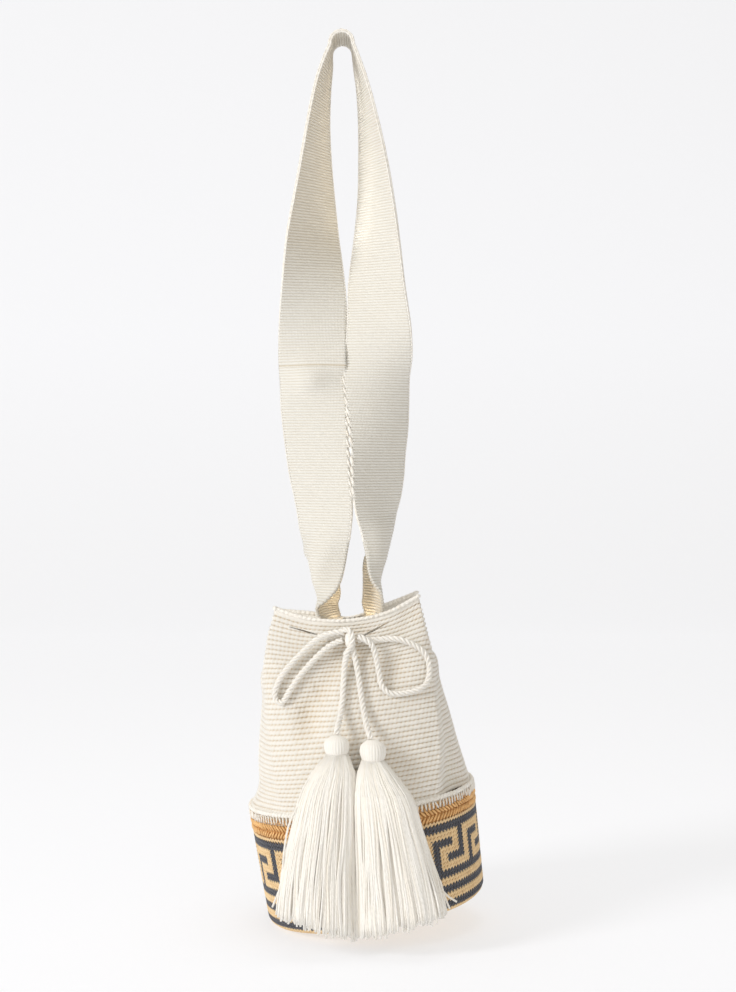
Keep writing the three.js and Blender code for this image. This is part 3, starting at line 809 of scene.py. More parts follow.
def turned_shell(name, top, bottom, closed=False, thickness=SHELL_THICK):
    """A turned wall between two heights on the basket's axis, with a floor if it is closed."""
    shell = added(
        bpy.ops.mesh.primitive_cylinder_add, vertices=SHELL_SIDES, radius=1, depth=1, end_fill_type="NGON"
    )
    shell.name = shell.data.name = name
    for vertex in shell.data.vertices:
        z = top if vertex.co.z > 0 else bottom
        radius = float(wall_radius(z)) - SHELL_SINK
        vertex.co = Vector((vertex.co.x * radius, vertex.co.y * radius, z)) * MM

    def is_open_end(face):
        return len(face.vertices) == SHELL_SIDES and (face.normal.z > 0 or not closed)

    pick(shell, is_open_end, "polygons")
    with edit_mode("FACE"):
        bpy.ops.mesh.delete(type="FACE")
    if closed:
        low = (bottom + 1) * MM
        pick(shell, lambda edge: all(co.z < low for co in corners_of(shell, edge)), "edges")
        with edit_mode("EDGE"):
            bpy.ops.mesh.bevel(offset=BASE["corner"] * MM, segments=CORNER_STEPS, affect="EDGES")
    wall = shell.modifiers.new("wall", "SOLIDIFY")
    wall.thickness = thickness * MM
    wall.offset = -1
    bpy.ops.object.modifier_apply(modifier=wall.name)
    points = np.array([vertex.co for vertex in shell.data.vertices]) / MM
    shell.data.vertices.foreach_set("co", (tilted(points) * MM).astype(np.float32).ravel())
    bpy.ops.object.shade_smooth()
    # Painted shade: the shell shows only in the gaps between the stitches over it, so it is given a darker
    # tone.
    give_tone(shell.data, np.full(len(points), SHELL_PAINTED_SHADE))
    return shell


basket = turned_shell("basket_base_wall", BASKET_TOP, -BASE["height"] + SHELL_SINK, closed=True)
dress(basket, "tan straw", "basket_base")

# %% Stitches of the basket
STITCHES_ROUND = 156
STITCH_ROW = 3.32
CHART_CELL = 2
KEY_CHART = [
    "111111",
    "000010",
    "111010",
    "100010",
    "101110",
    "100000",
    "111111",
    "000000",
    "111111",
    "000000",
    "111111",
    "000000",
]
CHART_COLUMNS = len(KEY_CHART[0])
CHART_TURN = -2.6
CHART_START = 8
V_APART = 1.0
V_OPEN = 2.2
V_SLANT = 0.75
V_OVER = 0.55
V_SIZES = (1.16, 1.05, 3.35)
V_DARK_SIZES = (1.0, 0.9, 3.25)
V_PROUD = 0.1


def basket_profile(down):
    """Radius, height and outward direction down the basket's outside, round its corner and under it."""
    down = np.asarray(down, float)
    straight = BASE["height"] - BASE["corner"] + BASKET_TOP
    arc = BASE["corner"] * math.pi / 2
    centre = float(wall_radius(-BASE["height"] + BASE["corner"])) - BASE["corner"]
    turn = np.clip((down - straight) / BASE["corner"], 0, math.pi / 2)
    on_wall = np.minimum(down, straight)
    under = np.clip(down - straight - arc, 0, centre)
    z = BASKET_TOP - on_wall - BASE["corner"] * np.sin(turn)
    rounded = centre + BASE["corner"] * np.cos(turn) - under
    radius = np.where(down < straight, wall_radius(BASKET_TOP - on_wall), rounded)
    return radius, z, np.cos(turn), -np.sin(turn)


def round_frame(angle, down, profile=basket_profile):
    """Centres and across, up and outward directions at angles round the basket from its front."""
    radius, z, out_r, out_z = profile(down)
    sine, cosine = np.sin(angle), -np.cos(angle)
    zero = np.zeros_like(angle)
    centre = tilted(np.stack([radius * sine, radius * cosine, z + zero], -1))
    across = turned(np.stack([-cosine, sine, zero], -1))
    outward = turned(np.stack([out_r * sine, out_r * cosine, out_z + zero], -1))
    return centre, across, np.cross(outward, across), outward


def v_stitches(name, angle, down, model, tones, sizes=V_SIZES):
    """V stitches at angles and distances down the basket: two legs that lean apart, over the row above."""
    centre, across, up, outward = round_frame(angle, down)
    legs = []
    for side in (-1, 1):
        place = centre + across * (side * V_APART) + outward * V_PROUD
        lean = up * STITCH_ROW + across * (side * V_OPEN + V_SLANT) + outward * V_OVER
        legs.append((place, lean, outward))
    place, lean, out = (np.concatenate(parts) for parts in zip(*legs))
    return stitches(name, model, place, lean, out, sizes, np.tile(tones, 2))


def turns_round(count):
    """Angles at the middles of equal parts of a round."""
    return (np.arange(count) + 0.5) * 2 * math.pi / count


chart = np.array([[int(mark) for mark in row] for row in KEY_CHART])
row, column = np.mgrid[0 : len(KEY_CHART) * CHART_CELL, 0:STITCHES_ROUND]
dark = chart[row // CHART_CELL, (column // CHART_CELL - CHART_START) % CHART_COLUMNS].astype(bool)
angle = turns_round(STITCHES_ROUND)[column] + math.radians(CHART_TURN)
down = (row + 0.5) * STITCH_ROW
tones = varied(0.12, 0.12, 0.6, row.shape)
for name, mask, sizes, finish, slot in [
    ("basket_tan_stitches", ~dark, V_SIZES, "tan straw", "tan_straw"),
    ("basket_charcoal_stitches", dark, V_DARK_SIZES, "charcoal straw", None),
]:
    worked = v_stitches(name, angle[mask], down[mask], STITCH, tones[mask], sizes)
    dress(worked, finish, "basket_base")

# %% Stitches under the basket
FLOOR_STITCH, INNERMOST, FEWEST = 4.1, 3, 6

rounds = []
depth = (len(KEY_CHART) * CHART_CELL + 0.5) * STITCH_ROW
while (radius := float(basket_profile(depth)[0])) >= INNERMOST:
    count = max(FEWEST, round(2 * math.pi * radius / FLOOR_STITCH))
    rounds.append((turns_round(count), np.full(count, depth)))
    depth += STITCH_ROW
turn, depths = (np.concatenate(parts) for parts in zip(*rounds))
tones = varied(0.12, 0.1, 0.5, len(turn))
worked = v_stitches("basket_floor_stitches", turn, depths, SMALL_STITCH, tones)
dress(worked, "tan straw", "basket_base")

# %% [markdown]
# ## The two bands
# Over the basket lies a plait in darker straw: rows of slanting strokes that meet in arrow heads, above a
# row of light V stitches. The cream band over it is whipped on: a roll of slanting stitches along its top
# edge, and upright strokes that reach down over the plait, no two quite alike.


# %% Braid band
PLAY, LOOSE_PLAY = 0.12, 0.6
PROUD_PLAY, STROKE_TONES, DARKEST_STROKE = 0.1, 0.12, 0.8
PLAIT = [
    # Painted shade: the strokes that lie further under the whipping are given a darker tone.
    # name, count, down, lean, sizes, proud, spread of the lean, tone, play
    ("hidden strokes", STITCHES_ROUND, 4.6, 48, (1.15, 0.9, 3.4), 0.0, 5, 0.3, PLAY),
    ("upper strokes", STITCHES_ROUND, 9.5, -46, (1.15, 1.15, 4.1), 0.5, 5, 0.18, PLAY),
    ("lower strokes", STITCHES_ROUND, 15.1, 46, (1.15, 1.15, 4.1), 0.5, 5, 0.1, PLAY),
]
LIGHT_ROW, LIGHT_SIZES = 19.9, (1.0, 0.9, 2.4)


def band_profile(down):
    """Radius, height and outward direction down the two bands, from the seam."""
    z = -np.asarray(down, float)
    return wall_radius(z), z, np.ones_like(z), np.zeros_like(z)


def strokes(name, count, down, lean, sizes, proud, spread, tone, play):
    """A ring of straight strokes, leaning by lean degrees from upright, with a little play in each."""
    depths = np.full(count, float(down))
    centre, across, up, outward = round_frame(turns_round(count), depths, band_profile)
    slope = np.radians(lean + rng.normal(0, spread, count))[:, None]
    along = up * np.cos(slope) + across * np.sin(slope)
    place = centre + outward * (proud + rng.normal(0, PROUD_PLAY, (count, 1)))
    place = place + up * rng.normal(0, play, (count, 1))
    tones = varied(tone, STROKE_TONES, DARKEST_STROKE, count)
    return stitches(name, STITCH, place, along, outward, sizes, tones)


plait = join("braid_band_plait", [strokes(*row) for row in PLAIT])
dress(plait, "brown straw", "braid_band")
turn = turns_round(STITCHES_ROUND)
depths = np.full(STITCHES_ROUND, BASKET_TOP + LIGHT_ROW)
tones = varied(0.03, 0.06, 0.4, len(turn))
light = v_stitches("braid_band_light_rows", turn, depths, STITCH, tones, LIGHT_SIZES)
dress(light, "tan straw", "braid_band")
backing = turned_shell("braid_band_backing", -JOIN_HEIGHT - GAP, BASKET_TOP + GAP)
dress(backing, "brown straw", "braid_band")

# %% Joining band
WHIPPING = [
    # name, count, down, lean, sizes, proud, spread of the lean, tone, play
    ("whip strokes", 158, 3.4, 4, (0.98, 0.9, 4.0), 0.9, 9, 0.06, LOOSE_PLAY),
    ("top roll", 150, -0.7, 66, (2.3, 1.9, 3.2), -0.4, 4, 0.03, PLAY),
    ("ledge", 150, 0.2, 80, (1.9, 2.4, 3.2), -3.6, 3, 0.12, PLAY),
]
BACKING_TOP, BACKING_THICK = -0.4, 2.4

whipping = join("joining_band_whipping", [strokes(*row) for row in WHIPPING])
dress(whipping, "cream stitch", "joining_band")
backing = turned_shell("joining_band_backing", BACKING_TOP, -JOIN_HEIGHT, thickness=BACKING_THICK)
dress(backing, "cream stitch", "joining_band")

# %% [markdown]
# ## The strap
# The strap is one long woven band with a rib at every few threads. Its path is a table for each leg:
# where the middle of the section is, how far it has turned, and how deeply its width is cupped near the
# bag. Lines across the strap at those places are joined by smooth curves, then cut again at even steps,
# four to a rib, so the ribs have the same width all the way. The chain along each edge is made of
# stitches.

# %% Strap legs
STRAP_WIDTH, STRAP_THICK, BEND_RADIUS, SEWN_CLEAR = 61, 3, 9.5, 0.8
NEARER, NEARER_Z, NEARER_REACH = 12, -262, 40
STRAP_COLUMNS = 25
LEFT_LEG = [
    # z, x, swing, cup, fold
    (-507, -19.5, 197, 40, 0.8),
    (-499, -21.1, 191.3, 75, 0.55),
    (-483, -26.6, 171, 131, 0.34),
    (-471, -26.2, 140.5, 90.5, 0.36),
    (-446, -21, 131, 52.5, 0.6),
    (-429, -17.7, 126.3, 22.3, 0.8),
    (-417, -17.3, 123.4, 13.2, 0.9),
    (-392, -20.4, 116.3, 7.7, 1),
    (-357, -23.8, 109.2, 10, 1),
    (-325, -26.3, 103, 16, 1),
    (-303, -26.9, 99.5, 38, 1),
    (-281, -26.9, 95, 14, 1),
    (-247, -25.9, 79, 4, 1),
    (-217, -25.4, 65.5, 4, 1),
    (-176, -25.9, 48, 4, 1),
    (-141, -24.4, 34.5, 4, 1),
    (-105, -22.6, 23.5, 4, 1),
    (-70, -20.1, 15.5, 4, 1),
    (-36, -15.6, 9, 4, 1),
    (-18, -11.5, 4, 4, 1),
    (-8, -9.5, 0, 4, 1),
]
RIGHT_LEG = [
    (-507, 30.3, 197, 20, 0.9),
    (-494, 32.9, 195, 35.4, 0.7),
    (-481, 33.7, 186.9, 66.7, 0.7),
    (-463, 39.4, 181.7, 117.4, 0.7),
    (-442, 41.8, 152.4, 82.7, 0.7),
    (-419, 34.4, 140.8, 36, 0.9),
    (-401, 33.2, 132.7, 16, 1),
    (-374, 34.2, 128.7, 20, 1),
    (-339, 34.8, 116.5, 34, 1),
    (-303, 32, 100, 44, 1),
    (-277, 32.4, 79, 30, 1),
    (-247, 32.2, 64, 4, 1),
    (-218, 30.4, 54.5, 4, 1),
    (-176, 30.3, 40, 4, 1),
    (-141, 29.5, 30, 4, 1),
    (-105, 26.6, 22, 4, 1),
    (-70, 22.4, 14, 4, 1),
    (-40, 17.4, 7.5, 4, 1),
    (-19, 12.2, 3, 4, 1),
    (-8, 9.5, 0, 4, 1),
]
LEG_HEIGHTS = [
    -507, -500, -492, -483, -473, -463, -451, -438, -424, -408, -390, -370, -348, -325, -303,
    -281, -259, -239, -219, -198, -176, -155, -133, -111, -90, -70, -52, -36, -26, -17,
]
SEWN_RISES = np.array([148, 159, 170, 180])
SEWN_KNOTS = {-1: (13, 11), 1: (3, 5)}
SEWN_STEP = 4
BEND_STEPS, BEND_CUP = 8, 4


def bent_line(middle, cross, outward, cup_degrees, fold):
    """A line across the strap: straight margins either side of a bend through the cup angle."""
    cup = math.radians(cup_degrees)
    radius = STRAP_WIDTH * fold / cup
    along = STRAP_WIDTH * np.linspace(-0.5, 0.5, STRAP_COLUMNS)
    turn = np.clip(along / radius, -cup / 2, cup / 2)
    straight = along - turn * radius
    sideways = radius * np.sin(turn) + straight * np.cos(turn)
    outwards = radius * np.cos(turn) - radius - straight * np.sin(turn)
    return np.asarray(middle) + np.outer(sideways, cross) + np.outer(outwards, outward)


def leg_lines(side, table):
    """Lines across one leg, from its sewn end to the bend; side is -1 on the left, 1 on the right."""
    knots = np.linspace(*SEWN_KNOTS[side], STRAP_COLUMNS)
    wall = wall_points(SEWN_RISES, knots)
    lower = wall_points(SEWN_RISES - SEWN_STEP, knots)
    outward = unit(np.cross(np.gradient(wall, axis=1), wall - lower)) * side
    lines = list(wall + outward * (SEWN_CLEAR + STRAP_THICK / 2))
    for z, (x, swing, cup, fold) in zip(LEG_HEIGHTS, smooth_columns(table, LEG_HEIGHTS).T):
        turn = math.radians(swing)
        cross = (side * math.sin(turn), -math.cos(turn), 0)
        outward = (-side * math.cos(turn), -math.sin(turn), 0)
        nearer = NEARER * math.exp(-(((z - NEARER_Z) / NEARER_REACH) ** 2)) if side > 0 else 0
        lines.append(bent_line((x, -nearer, z), cross, outward, cup, fold))
    return lines


def bend_lines():
    """Lines across the strap where it goes over the top, round half a turn."""
    lines = []
    for k in range(BEND_STEPS + 1):
        turn = math.pi * (1 - k / BEND_STEPS)
        to_centre = np.array([-math.cos(turn), 0, -math.sin(turn)])
        middle = -to_centre * BEND_RADIUS - np.array([0, 0, BEND_RADIUS - STRAP_THICK / 2])
        lines.append(bent_line(middle, (0, -1, 0), to_centre, BEND_CUP, 1))
    return lines


strap_lines = np.array(leg_lines(-1, LEFT_LEG) + bend_lines() + leg_lines(1, RIGHT_LEG)[::-1])
print("strap:", len(strap_lines), "lines across")

# %% Ribs of the strap
RIB_PITCH, RIB_SINK = 2.52, 0.3
RIB_HEIGHTS = np.array([-0.55, 0.05, 0.38, 0.05])
RIB_STEPS = len(RIB_HEIGHTS)
CREASE_Z, CREASE_OUT, CREASE_REACH, CREASE_FADE = -290, 4.5, 16, 0.4
CREASE_HEIGHTS = [[-0.3], [-1.0], [-0.3]]
SWELL = {"x": -29, "z": -303, "wide": 15, "tall": 11, "out": 7}
FAR_OFF = 1e6

dense = np.linspace(0, len(strap_lines) - 1, FINE_STEPS * len(strap_lines))
run = lengths_along(spline(strap_lines[:, STRAP_COLUMNS // 2], dense))
strap_length = run[-1]
ribs = round(strap_length / RIB_PITCH)
places = np.interp(np.linspace(0, strap_length, ribs * RIB_STEPS + 1), run, dense)
sheet = np.moveaxis(spline(np.moveaxis(strap_lines, 1, 0), places), 0, 1)
on_left = places < len(strap_lines) / 2
off_crease = np.where(on_left, np.abs(sheet[:, STRAP_COLUMNS // 2, 2] - CREASE_Z), FAR_OFF)
crease_out = np.linspace(CREASE_OUT, CREASE_FADE * CREASE_OUT, STRAP_COLUMNS)
buckle = np.exp(-off_crease / CREASE_REACH)[:, None] * crease_out
from_x = (sheet[..., 0] - SWELL["x"]) / SWELL["wide"]
from_z = (sheet[..., 2] - SWELL["z"]) / SWELL["tall"]
swell = SWELL["out"] * np.exp(-(from_x**2 + from_z**2))
buckle = buckle + np.where(on_left[:, None], swell, 0)
sheet = sheet - sheet_normals(sheet, closed=False) * buckle[..., None]
out = sheet_normals(sheet, closed=False)
rib = RIB_HEIGHTS[np.arange(len(places)) % RIB_STEPS][:, None]
crease = np.argmin(off_crease)
rib[crease - 1 : crease + 2] = CREASE_HEIGHTS
half = (STRAP_THICK / 2 - RIB_SINK + rib)[..., None]
ring = np.concatenate([sheet + out * half, (sheet - out * half)[:, ::-1]], axis=1)
ends = [np.concatenate([line, line[::-1]])[None] for line in (sheet[0], sheet[-1])]
ring = np.concatenate([ends[0], ring, ends[1]])
ring = np.concatenate([ring, ring[:, :1]], axis=1)
print("strap length", round(strap_length, 1), "mm,", ribs, "ribs")

# %% [markdown]
# The grooves between the ribs, and the crease, get painted shade. The inner faces of the two legs get a
# little painted warm shade too, for the warm light that comes through the cloth: near the sewn ends on both
# legs, and at the top of the left one.

# %% Tone of the strap
RIB_SHADE_FROM, RIB_SHADE = 0.1, 0.9
LEGS_MEET_X, FACING_GAIN = 8, 1.6
ENDS_PAINTED_SHADE, ENDS_PAINTED_SHADE_Z, ENDS_PAINTED_SHADE_RANGE = 0.42, -440, 50
LEFT_PAINTED_SHADE, LEFT_PAINTED_SHADE_Z, LEFT_PAINTED_SHADE_RANGE = 0.3, -240, 60

# Painted shade: darker in the rib grooves and the crease, darker and warmer on the legs' inner faces near
# the sewn ends and at the top of the left leg.
tone = np.clip((RIB_SHADE_FROM - rib) * RIB_SHADE, 0, 1) + np.zeros(ring.shape[1])
tone = np.concatenate([tone[:1], tone, tone[-1:]])
row_x = ring[..., 0].mean(1, keepdims=True)
facing = np.concatenate([out[..., 0], -out[:, ::-1, 0], out[:, :1, 0]], axis=1)
facing = np.concatenate([facing[:1], facing, facing[-1:]]) * np.sign(LEGS_MEET_X - row_x)
ends_painted_shade = ENDS_PAINTED_SHADE * np.clip((ENDS_PAINTED_SHADE_Z - ring[..., 2]) / ENDS_PAINTED_SHADE_RANGE, 0, 1)
left_painted_shade = LEFT_PAINTED_SHADE * np.clip((ring[..., 2] - LEFT_PAINTED_SHADE_Z) / LEFT_PAINTED_SHADE_RANGE, 0, 1) * (row_x < 0)
tone = tone + (ends_painted_shade + left_painted_shade) * np.clip(facing * FACING_GAIN, 0, 1)
strap = sew(grid_sheet("strap_webbing", ring, tone))
dress(strap, "cream webbing", "strap")

# %% Chain along the strap's edges
CHAINS = [
    # name, pitch, sizes, lean out of the cloth, lean across the edge
    ("plain edge", 4.6, (0.9, 0.85, 4.4), 0.06, 0),
    ("edge where the legs meet", 9, (1.3, 1.2, 5.3), 0.1, 0.3),
]
CHAIN_ENDS, MEET_LOW, MEET_HIGH = -447, -412, -285
CHAIN_APART, CHAIN_IN = 0.75, 0.35


def edge_chain(name, pitch, sizes, out_lean, cross_lean):
    """Stitches along both edges of the strap, over the stretch that this chain has."""
    chain = []
    places = np.interp(np.arange(pitch / 2, strap_length, pitch), run, dense)
    for column in (0, STRAP_COLUMNS - 1):
        edge = spline(strap_lines[:, column], places)
        inward = spline(strap_lines[:, abs(column - 1)], places) - edge
        along = np.gradient(edge, axis=0)
        face = unit(np.cross(inward, along))
        meets = (edge[:, 2] > MEET_LOW) & (edge[:, 2] < MEET_HIGH) & (column == 0)
        kept = meets if cross_lean else ~meets & (edge[:, 2] > CHAIN_ENDS)
        for side in (-1, 1):
            place = edge + face * (side * CHAIN_APART) + unit(inward) * CHAIN_IN
            lean = unit(along) - face * (side * out_lean) + unit(inward) * cross_lean
            chain.append((place[kept], lean[kept], unit(-inward)[kept]))
    place, along, outward = (np.concatenate(parts) for parts in zip(*chain))
    return stitches(name, STITCH, place, along, outward, sizes, varied(0.05, 0.06, 0.4, len(place)))


edges = join("strap_edge_chain", [edge_chain(*row) for row in CHAINS])
dress(edges, "cream stitch", "strap")

# %% [markdown]
# ## The cord and its bow
# The cord is laid from three strands, so its section is three circles run together, turning as it goes.
# Each stretch is a tube along the same route that its solid follows; a limp cord bends tightly
# in a bow.

# %% Cord routes
CORD_DIAMETER = 5.6
DRAWSTRING_ROUTE = [
    (2.4, -55.8, -528.2), (-5, -55.4, -528.8), (-11, -54, -529.2), (-16.7, -50.4, -529.1),
    (-21.3, -45.8, -528.2), (-25, -41.8, -528.2), (-27.2, -36, -530), (-26, -28, -533.5),
    (-25.6, -18, -536), (-26, -7, -538), (-26, 4, -538.5), (-24.4, 15, -538.5), (-23.5, 26, -537.5),
    (-22, 34, -536.5), (-17, 41, -535.5), (-7, 45, -535), (5, 46, -535), (18, 45.5, -534.5),
    (28, 41.5, -534.5), (32.5, 34, -535), (33.5, 26, -536), (36, 15, -536.5), (39, 3, -536),
    (41.5, -9, -534), (42.6, -20, -531), (41.6, -30, -527.5), (38.4, -37.4, -525), (33, -41, -525),
    (27, -42.8, -526.6), (21.6, -44.6, -528.4), (17.6, -48.2, -529.6), (15.6, -52.8, -529.6),
]
LOOP_LEFT_ROUTE = [
    (2.1, -62, -524.2), (-5.5, -62, -524.8), (-14.1, -61.6, -527.2), (-22.8, -61.2, -532.2),
    (-31.6, -61.2, -540), (-40.3, -61.6, -548.8), (-49, -62, -558.8), (-55.1, -62.4, -568.9),
    (-57.8, -62.8, -578), (-56.2, -63.8, -584.2), (-51.4, -65.2, -585.2), (-46.6, -65.8, -578.6),
    (-42.4, -65.6, -571.6), (-35.9, -64.6, -562.3), (-27.2, -63.6, -552.3), (-18.5, -62.6, -543.3),
    (-9.8, -61.8, -536.4), (-3.4, -61.5, -533.2), (1.4, -61.4, -531.6),
]
LOOP_RIGHT_ROUTE = [
    (14.4, -59, -531.4), (19, -59, -531.6), (26.7, -58.8, -531.6), (38, -58.4, -530.9),
    (51, -57.8, -531.5), (62.3, -57.2, -535.8), (70.9, -56.8, -541.6), (75.8, -57, -550.2),
    (76.8, -58.6, -560.6), (74.4, -61.2, -569), (68.3, -65, -573.9), (58.1, -68.4, -576.5),
    (48.5, -70.2, -577.4), (40, -70.9, -575.6), (35, -69.8, -569.9), (33.3, -67.2, -561.9),
    (31.1, -65, -550.6), (28.9, -65, -541.2), (25.7, -66, -534.4), (20.4, -66.3, -530.2),
    (14.8, -65.4, -527.6),
]
TAIL_LEFT_ROUTE = [
    (4.7, -62.8, -541.3), (3.2, -65.4, -551.3), (2.6, -67.8, -558.5), (2.3, -70.2, -565.2),
    (1.8, -73, -574), (1.2, -76, -582.6), (0.3, -80.6, -590.8), (-1.2, -86.4, -597.5),
    (-2.6, -91.6, -602.3), (-3.4, -94.8, -605.8), (-3.5, -95.6, -608.6),
]
TAIL_RIGHT_ROUTE = [
    (10.6, -62.8, -541.3), (12.6, -65, -549.8), (14.2, -67.4, -557.5), (15.5, -69.6, -565.2),
    (16.8, -72.6, -574), (18.1, -76, -583), (20, -81.6, -593), (21.9, -88, -601.6), (23.9, -93.6, -607.4),
    (25, -96, -610), (25.5, -96.5, -612.2),
]
STRAND_SHARE = 0.495
STRAND_TWIST = 14
STRAND_GROOVE, STRAND_SHADE = 0.86, 1.8
ROPE_SIDES = 24
ROPE_STEP = 0.8
FIRST_SIDE = np.array([0.3, 1, 0.2])


def moving_frames(line):
    """Two directions across a line that turn with it and don't spin."""
    along = unit(np.gradient(line, axis=0))
    side = np.zeros_like(line)
    side[0] = unit(np.cross(along[0], FIRST_SIDE))
    for k in range(1, len(line)):
        side[k] = unit(side[k - 1] - along[k] * np.dot(side[k - 1], along[k]))
    return side, np.cross(along, side)


def capped(rings, first, last):
    """Rings of points, closed at each end by a row that lies in one point."""
    ends = [np.repeat(point[None, None], rings.shape[1], axis=1) for point in (first, last)]
    return np.concatenate([ends[0], rings, ends[1]])


def rope(name, route, diameter):
    """A three-strand cord along a route: a grid rolled into a tube whose section turns as it goes."""
    knots = np.array(route, float)
    fine = spline(knots, np.linspace(0, len(knots) - 1, FINE_STEPS * len(knots)))
    length = lengths_along(fine)[-1]
    line = evenly(fine, np.linspace(0, 1, round(length / ROPE_STEP)))
    side, up = moving_frames(line)
    strand = diameter / 2 * STRAND_SHARE
    offset = diameter / 2 - strand
    turn = np.linspace(0, 2 * math.pi, ROPE_SIDES + 1)
    nearest = (turn + math.pi / 3) % (2 * math.pi / 3) - math.pi / 3
    radius = offset * np.cos(nearest) + np.sqrt(strand**2 - (offset * np.sin(nearest)) ** 2)
    spun = turn + (2 * math.pi * lengths_along(line) / STRAND_TWIST)[:, None]
    spokes = side[:, None] * np.cos(spun)[..., None] + up[:, None] * np.sin(spun)[..., None]
    points = capped(line[:, None] + radius[:, None] * spokes, line[0], line[-1])
    # Painted shade in the grooves between the strands.
    painted_groove_shade = np.clip((diameter / 2 * STRAND_GROOVE - radius) / diameter, 0, 1) * STRAND_SHADE
    piece = sew(grid_sheet(name, points, np.tile(painted_groove_shade, (len(points), 1))))
    return piece, line, length


print("cord:", CORD_DIAMETER, "mm across, one turn of its strands every", STRAND_TWIST, "mm")

# %% Cords
CORDS = {
    "drawstring": (DRAWSTRING_ROUTE, "object", "taut"),
    "bow_loop_left": (LOOP_LEFT_ROUTE, "object", "hanging"),
    "bow_loop_right": (LOOP_RIGHT_ROUTE, "object", "hanging"),
    "cord_tail_left": (TAIL_LEFT_ROUTE, "fitting", "hanging"),
    "cord_tail_right": (TAIL_RIGHT_ROUTE, "fitting", "hanging"),
}
cords = {}
for node, (route, far_end, lay) in CORDS.items():
    piece, line, length = rope(f"{node}_cord", route, CORD_DIAMETER)
    dress(piece, "white rope", node)
    cords[node] = (piece, line, length, far_end, lay)
    print(f"{node}: {length:.1f} mm")

# %% [markdown]
# The knot is the cord itself, wrapped once round the middle of the bow. Two short turns of rope lie over
# a plump core, where the loops and the tails go in.

# %% Knot
KNOT = {"at": (7.6, -60.5, -531), "radii": (4.6, 4.4, 8.6)}
KNOT_TURNS = [
    [
        (0.6, -59.5, -523.6), (3.6, -63.4, -521.9), (6.8, -65.6, -522.6), (9.0, -66.4, -526.8),
        (9.6, -66.4, -531.8), (8.2, -66, -536.4), (5.8, -65.2, -540.6), (4.3, -65.0, -545.4),
        (3.5, -66.0, -550),
    ],
    [(8.8, -60, -527), (9.7, -61.2, -534), (10.5, -62.6, -540.6), (10.9, -63, -543)],
]
KNOT_CORD = 5.4

core = added(bpy.ops.mesh.primitive_uv_sphere_add, segments=24, ring_count=16, radius=1)
core.scale = Vector(KNOT["radii"]) * MM
core.location = Vector(KNOT["at"]) * MM
bpy.ops.object.transform_apply(location=True, rotation=True, scale=True)
bpy.ops.object.shade_smooth()
turns = [rope(f"knot turn {k}", route, KNOT_CORD)[0] for k, route in enumerate(KNOT_TURNS)]
knot = join("bow_knot_wrap", [*turns, core])
dress(knot, "white rope", "bow_knot")

# %% [markdown]
# ## The tassels
# A tassel is a bundle of yarns folded over, tied round below its head and cut at the bottom. The head is
# a turned grid with the folds of the yarns over it, the tie is a few rings of thread, and the skirt is
# hundreds of yarns, each a thin tube that falls from the tie to the cut edge, with its own waver and
# length. A core of the same form, a little smaller, stands behind them. The table of sections is the one
# that the solid follows.

# %% Tassel tables
TASSEL_LEFT = [
    # z, x, y, half_width, half_depth, tip
    (-609.5, -3.5, -95.6, 3.5, 3.5, 0),
    (-612.5, -3.5, -95.8, 8.5, 8.5, 0),
    (-617.5, -3.5, -96.2, 10.5, 10.5, 0),
    (-623.5, -3.3, -96.8, 9.6, 9.6, 0),
    (-627.5, -3.2, -97.6, 7.7, 7.7, 0),
    (-632, -4.2, -100.5, 12, 10.5, 0),
    (-638, -6.3, -104.5, 16.3, 13, 0),
    (-652.6, -10.5, -113, 21.9, 15.5, 0),
    (-685.5, -14.9, -120.5, 26.6, 17.5, -2),
    (-715, -17.7, -122, 29.6, 18.5, -4),
    (-745, -19.6, -123, 31.6, 19.5, -7),
    (-767, -20.4, -123.5, 32.6, 20, -9.5),
]
TASSEL_RIGHT = [
    (-613, 27.2, -96.6, 4, 4, 0),
    (-616.5, 27.3, -96.8, 9, 9, 0),
    (-622.5, 27.4, -97.5, 11.1, 11.1, 0),
    (-628.5, 27.6, -98.5, 9.8, 9.8, 0),
    (-632.5, 27.7, -99.5, 8.3, 8.3, 0),
    (-637, 28.4, -102.5, 12.5, 11, 0),
    (-643, 30.8, -107, 16.6, 13, 0),
    (-654, 35.2, -115.5, 22, 15.5, 0),
    (-685.5, 41.1, -122, 27.5, 18, 2),
    (-715, 45.3, -123.5, 31.7, 19, 4),
    (-745, 49.3, -124, 35.3, 19.5, 7),
    (-767, 51.5, -124.5, 36.8, 20, 10),
]
NECK = 4
STRAYS = {
    "left": [
        [
            (-24, -116, -648), (-42, -122, -677), (-47.3, -124, -702.8), (-49.4, -124, -728.7),
            (-57.3, -122, -750.4),
        ],
        [(-33, -124, -735), (-36, -124, -752), (-44.3, -122, -764.6)],
    ],
    "right": [
        [
            (50, -116, -648), (66.8, -122, -680), (76.4, -124, -708.7), (82.9, -124, -726),
            (86.5, -123, -737.5), (98, -121, -746.1),
        ],
        [(84, -123, -728), (88, -122, -742), (92, -121, -752)],
    ],
}


def tassel_form(rows, fall, turn, share):
    """Points of a tassel's form at depths of fall, at angles round it, at a share of its reach."""
    table = np.array(rows, float)
    table[:, 0] *= -1
    shape = np.broadcast(fall, turn, share).shape
    fall = np.broadcast_to(fall, shape)
    flat = np.clip(fall.ravel(), table[0, 0], table[-1, 0])
    x, y, wide, deep, tip = (column.reshape(shape) for column in smooth_columns(table, flat))
    across, back = np.cos(turn) * share, np.sin(turn) * share
    return np.stack([x + wide * across, y + deep * back, -fall + tip * across], axis=-1)


print("tassels:", len(TASSEL_LEFT), "sections each")

# %% Tassel heads
HEAD_FOLDS, FOLD_STEPS, FOLD_DEPTH = 26, 4, 0.03
FOLD_SHADE, FOLD_DARKEST = 7, 0.5
HEAD_RINGS, HEAD_LOWER = 26, 1.5
TIE_TURNS = 3
TIE = {"thick": 0.95, "out": 0.7, "rise": 1.9, "pitch": 1.2, "back": 0.2, "tip_x": 0.05, "tip_y": 0.06}


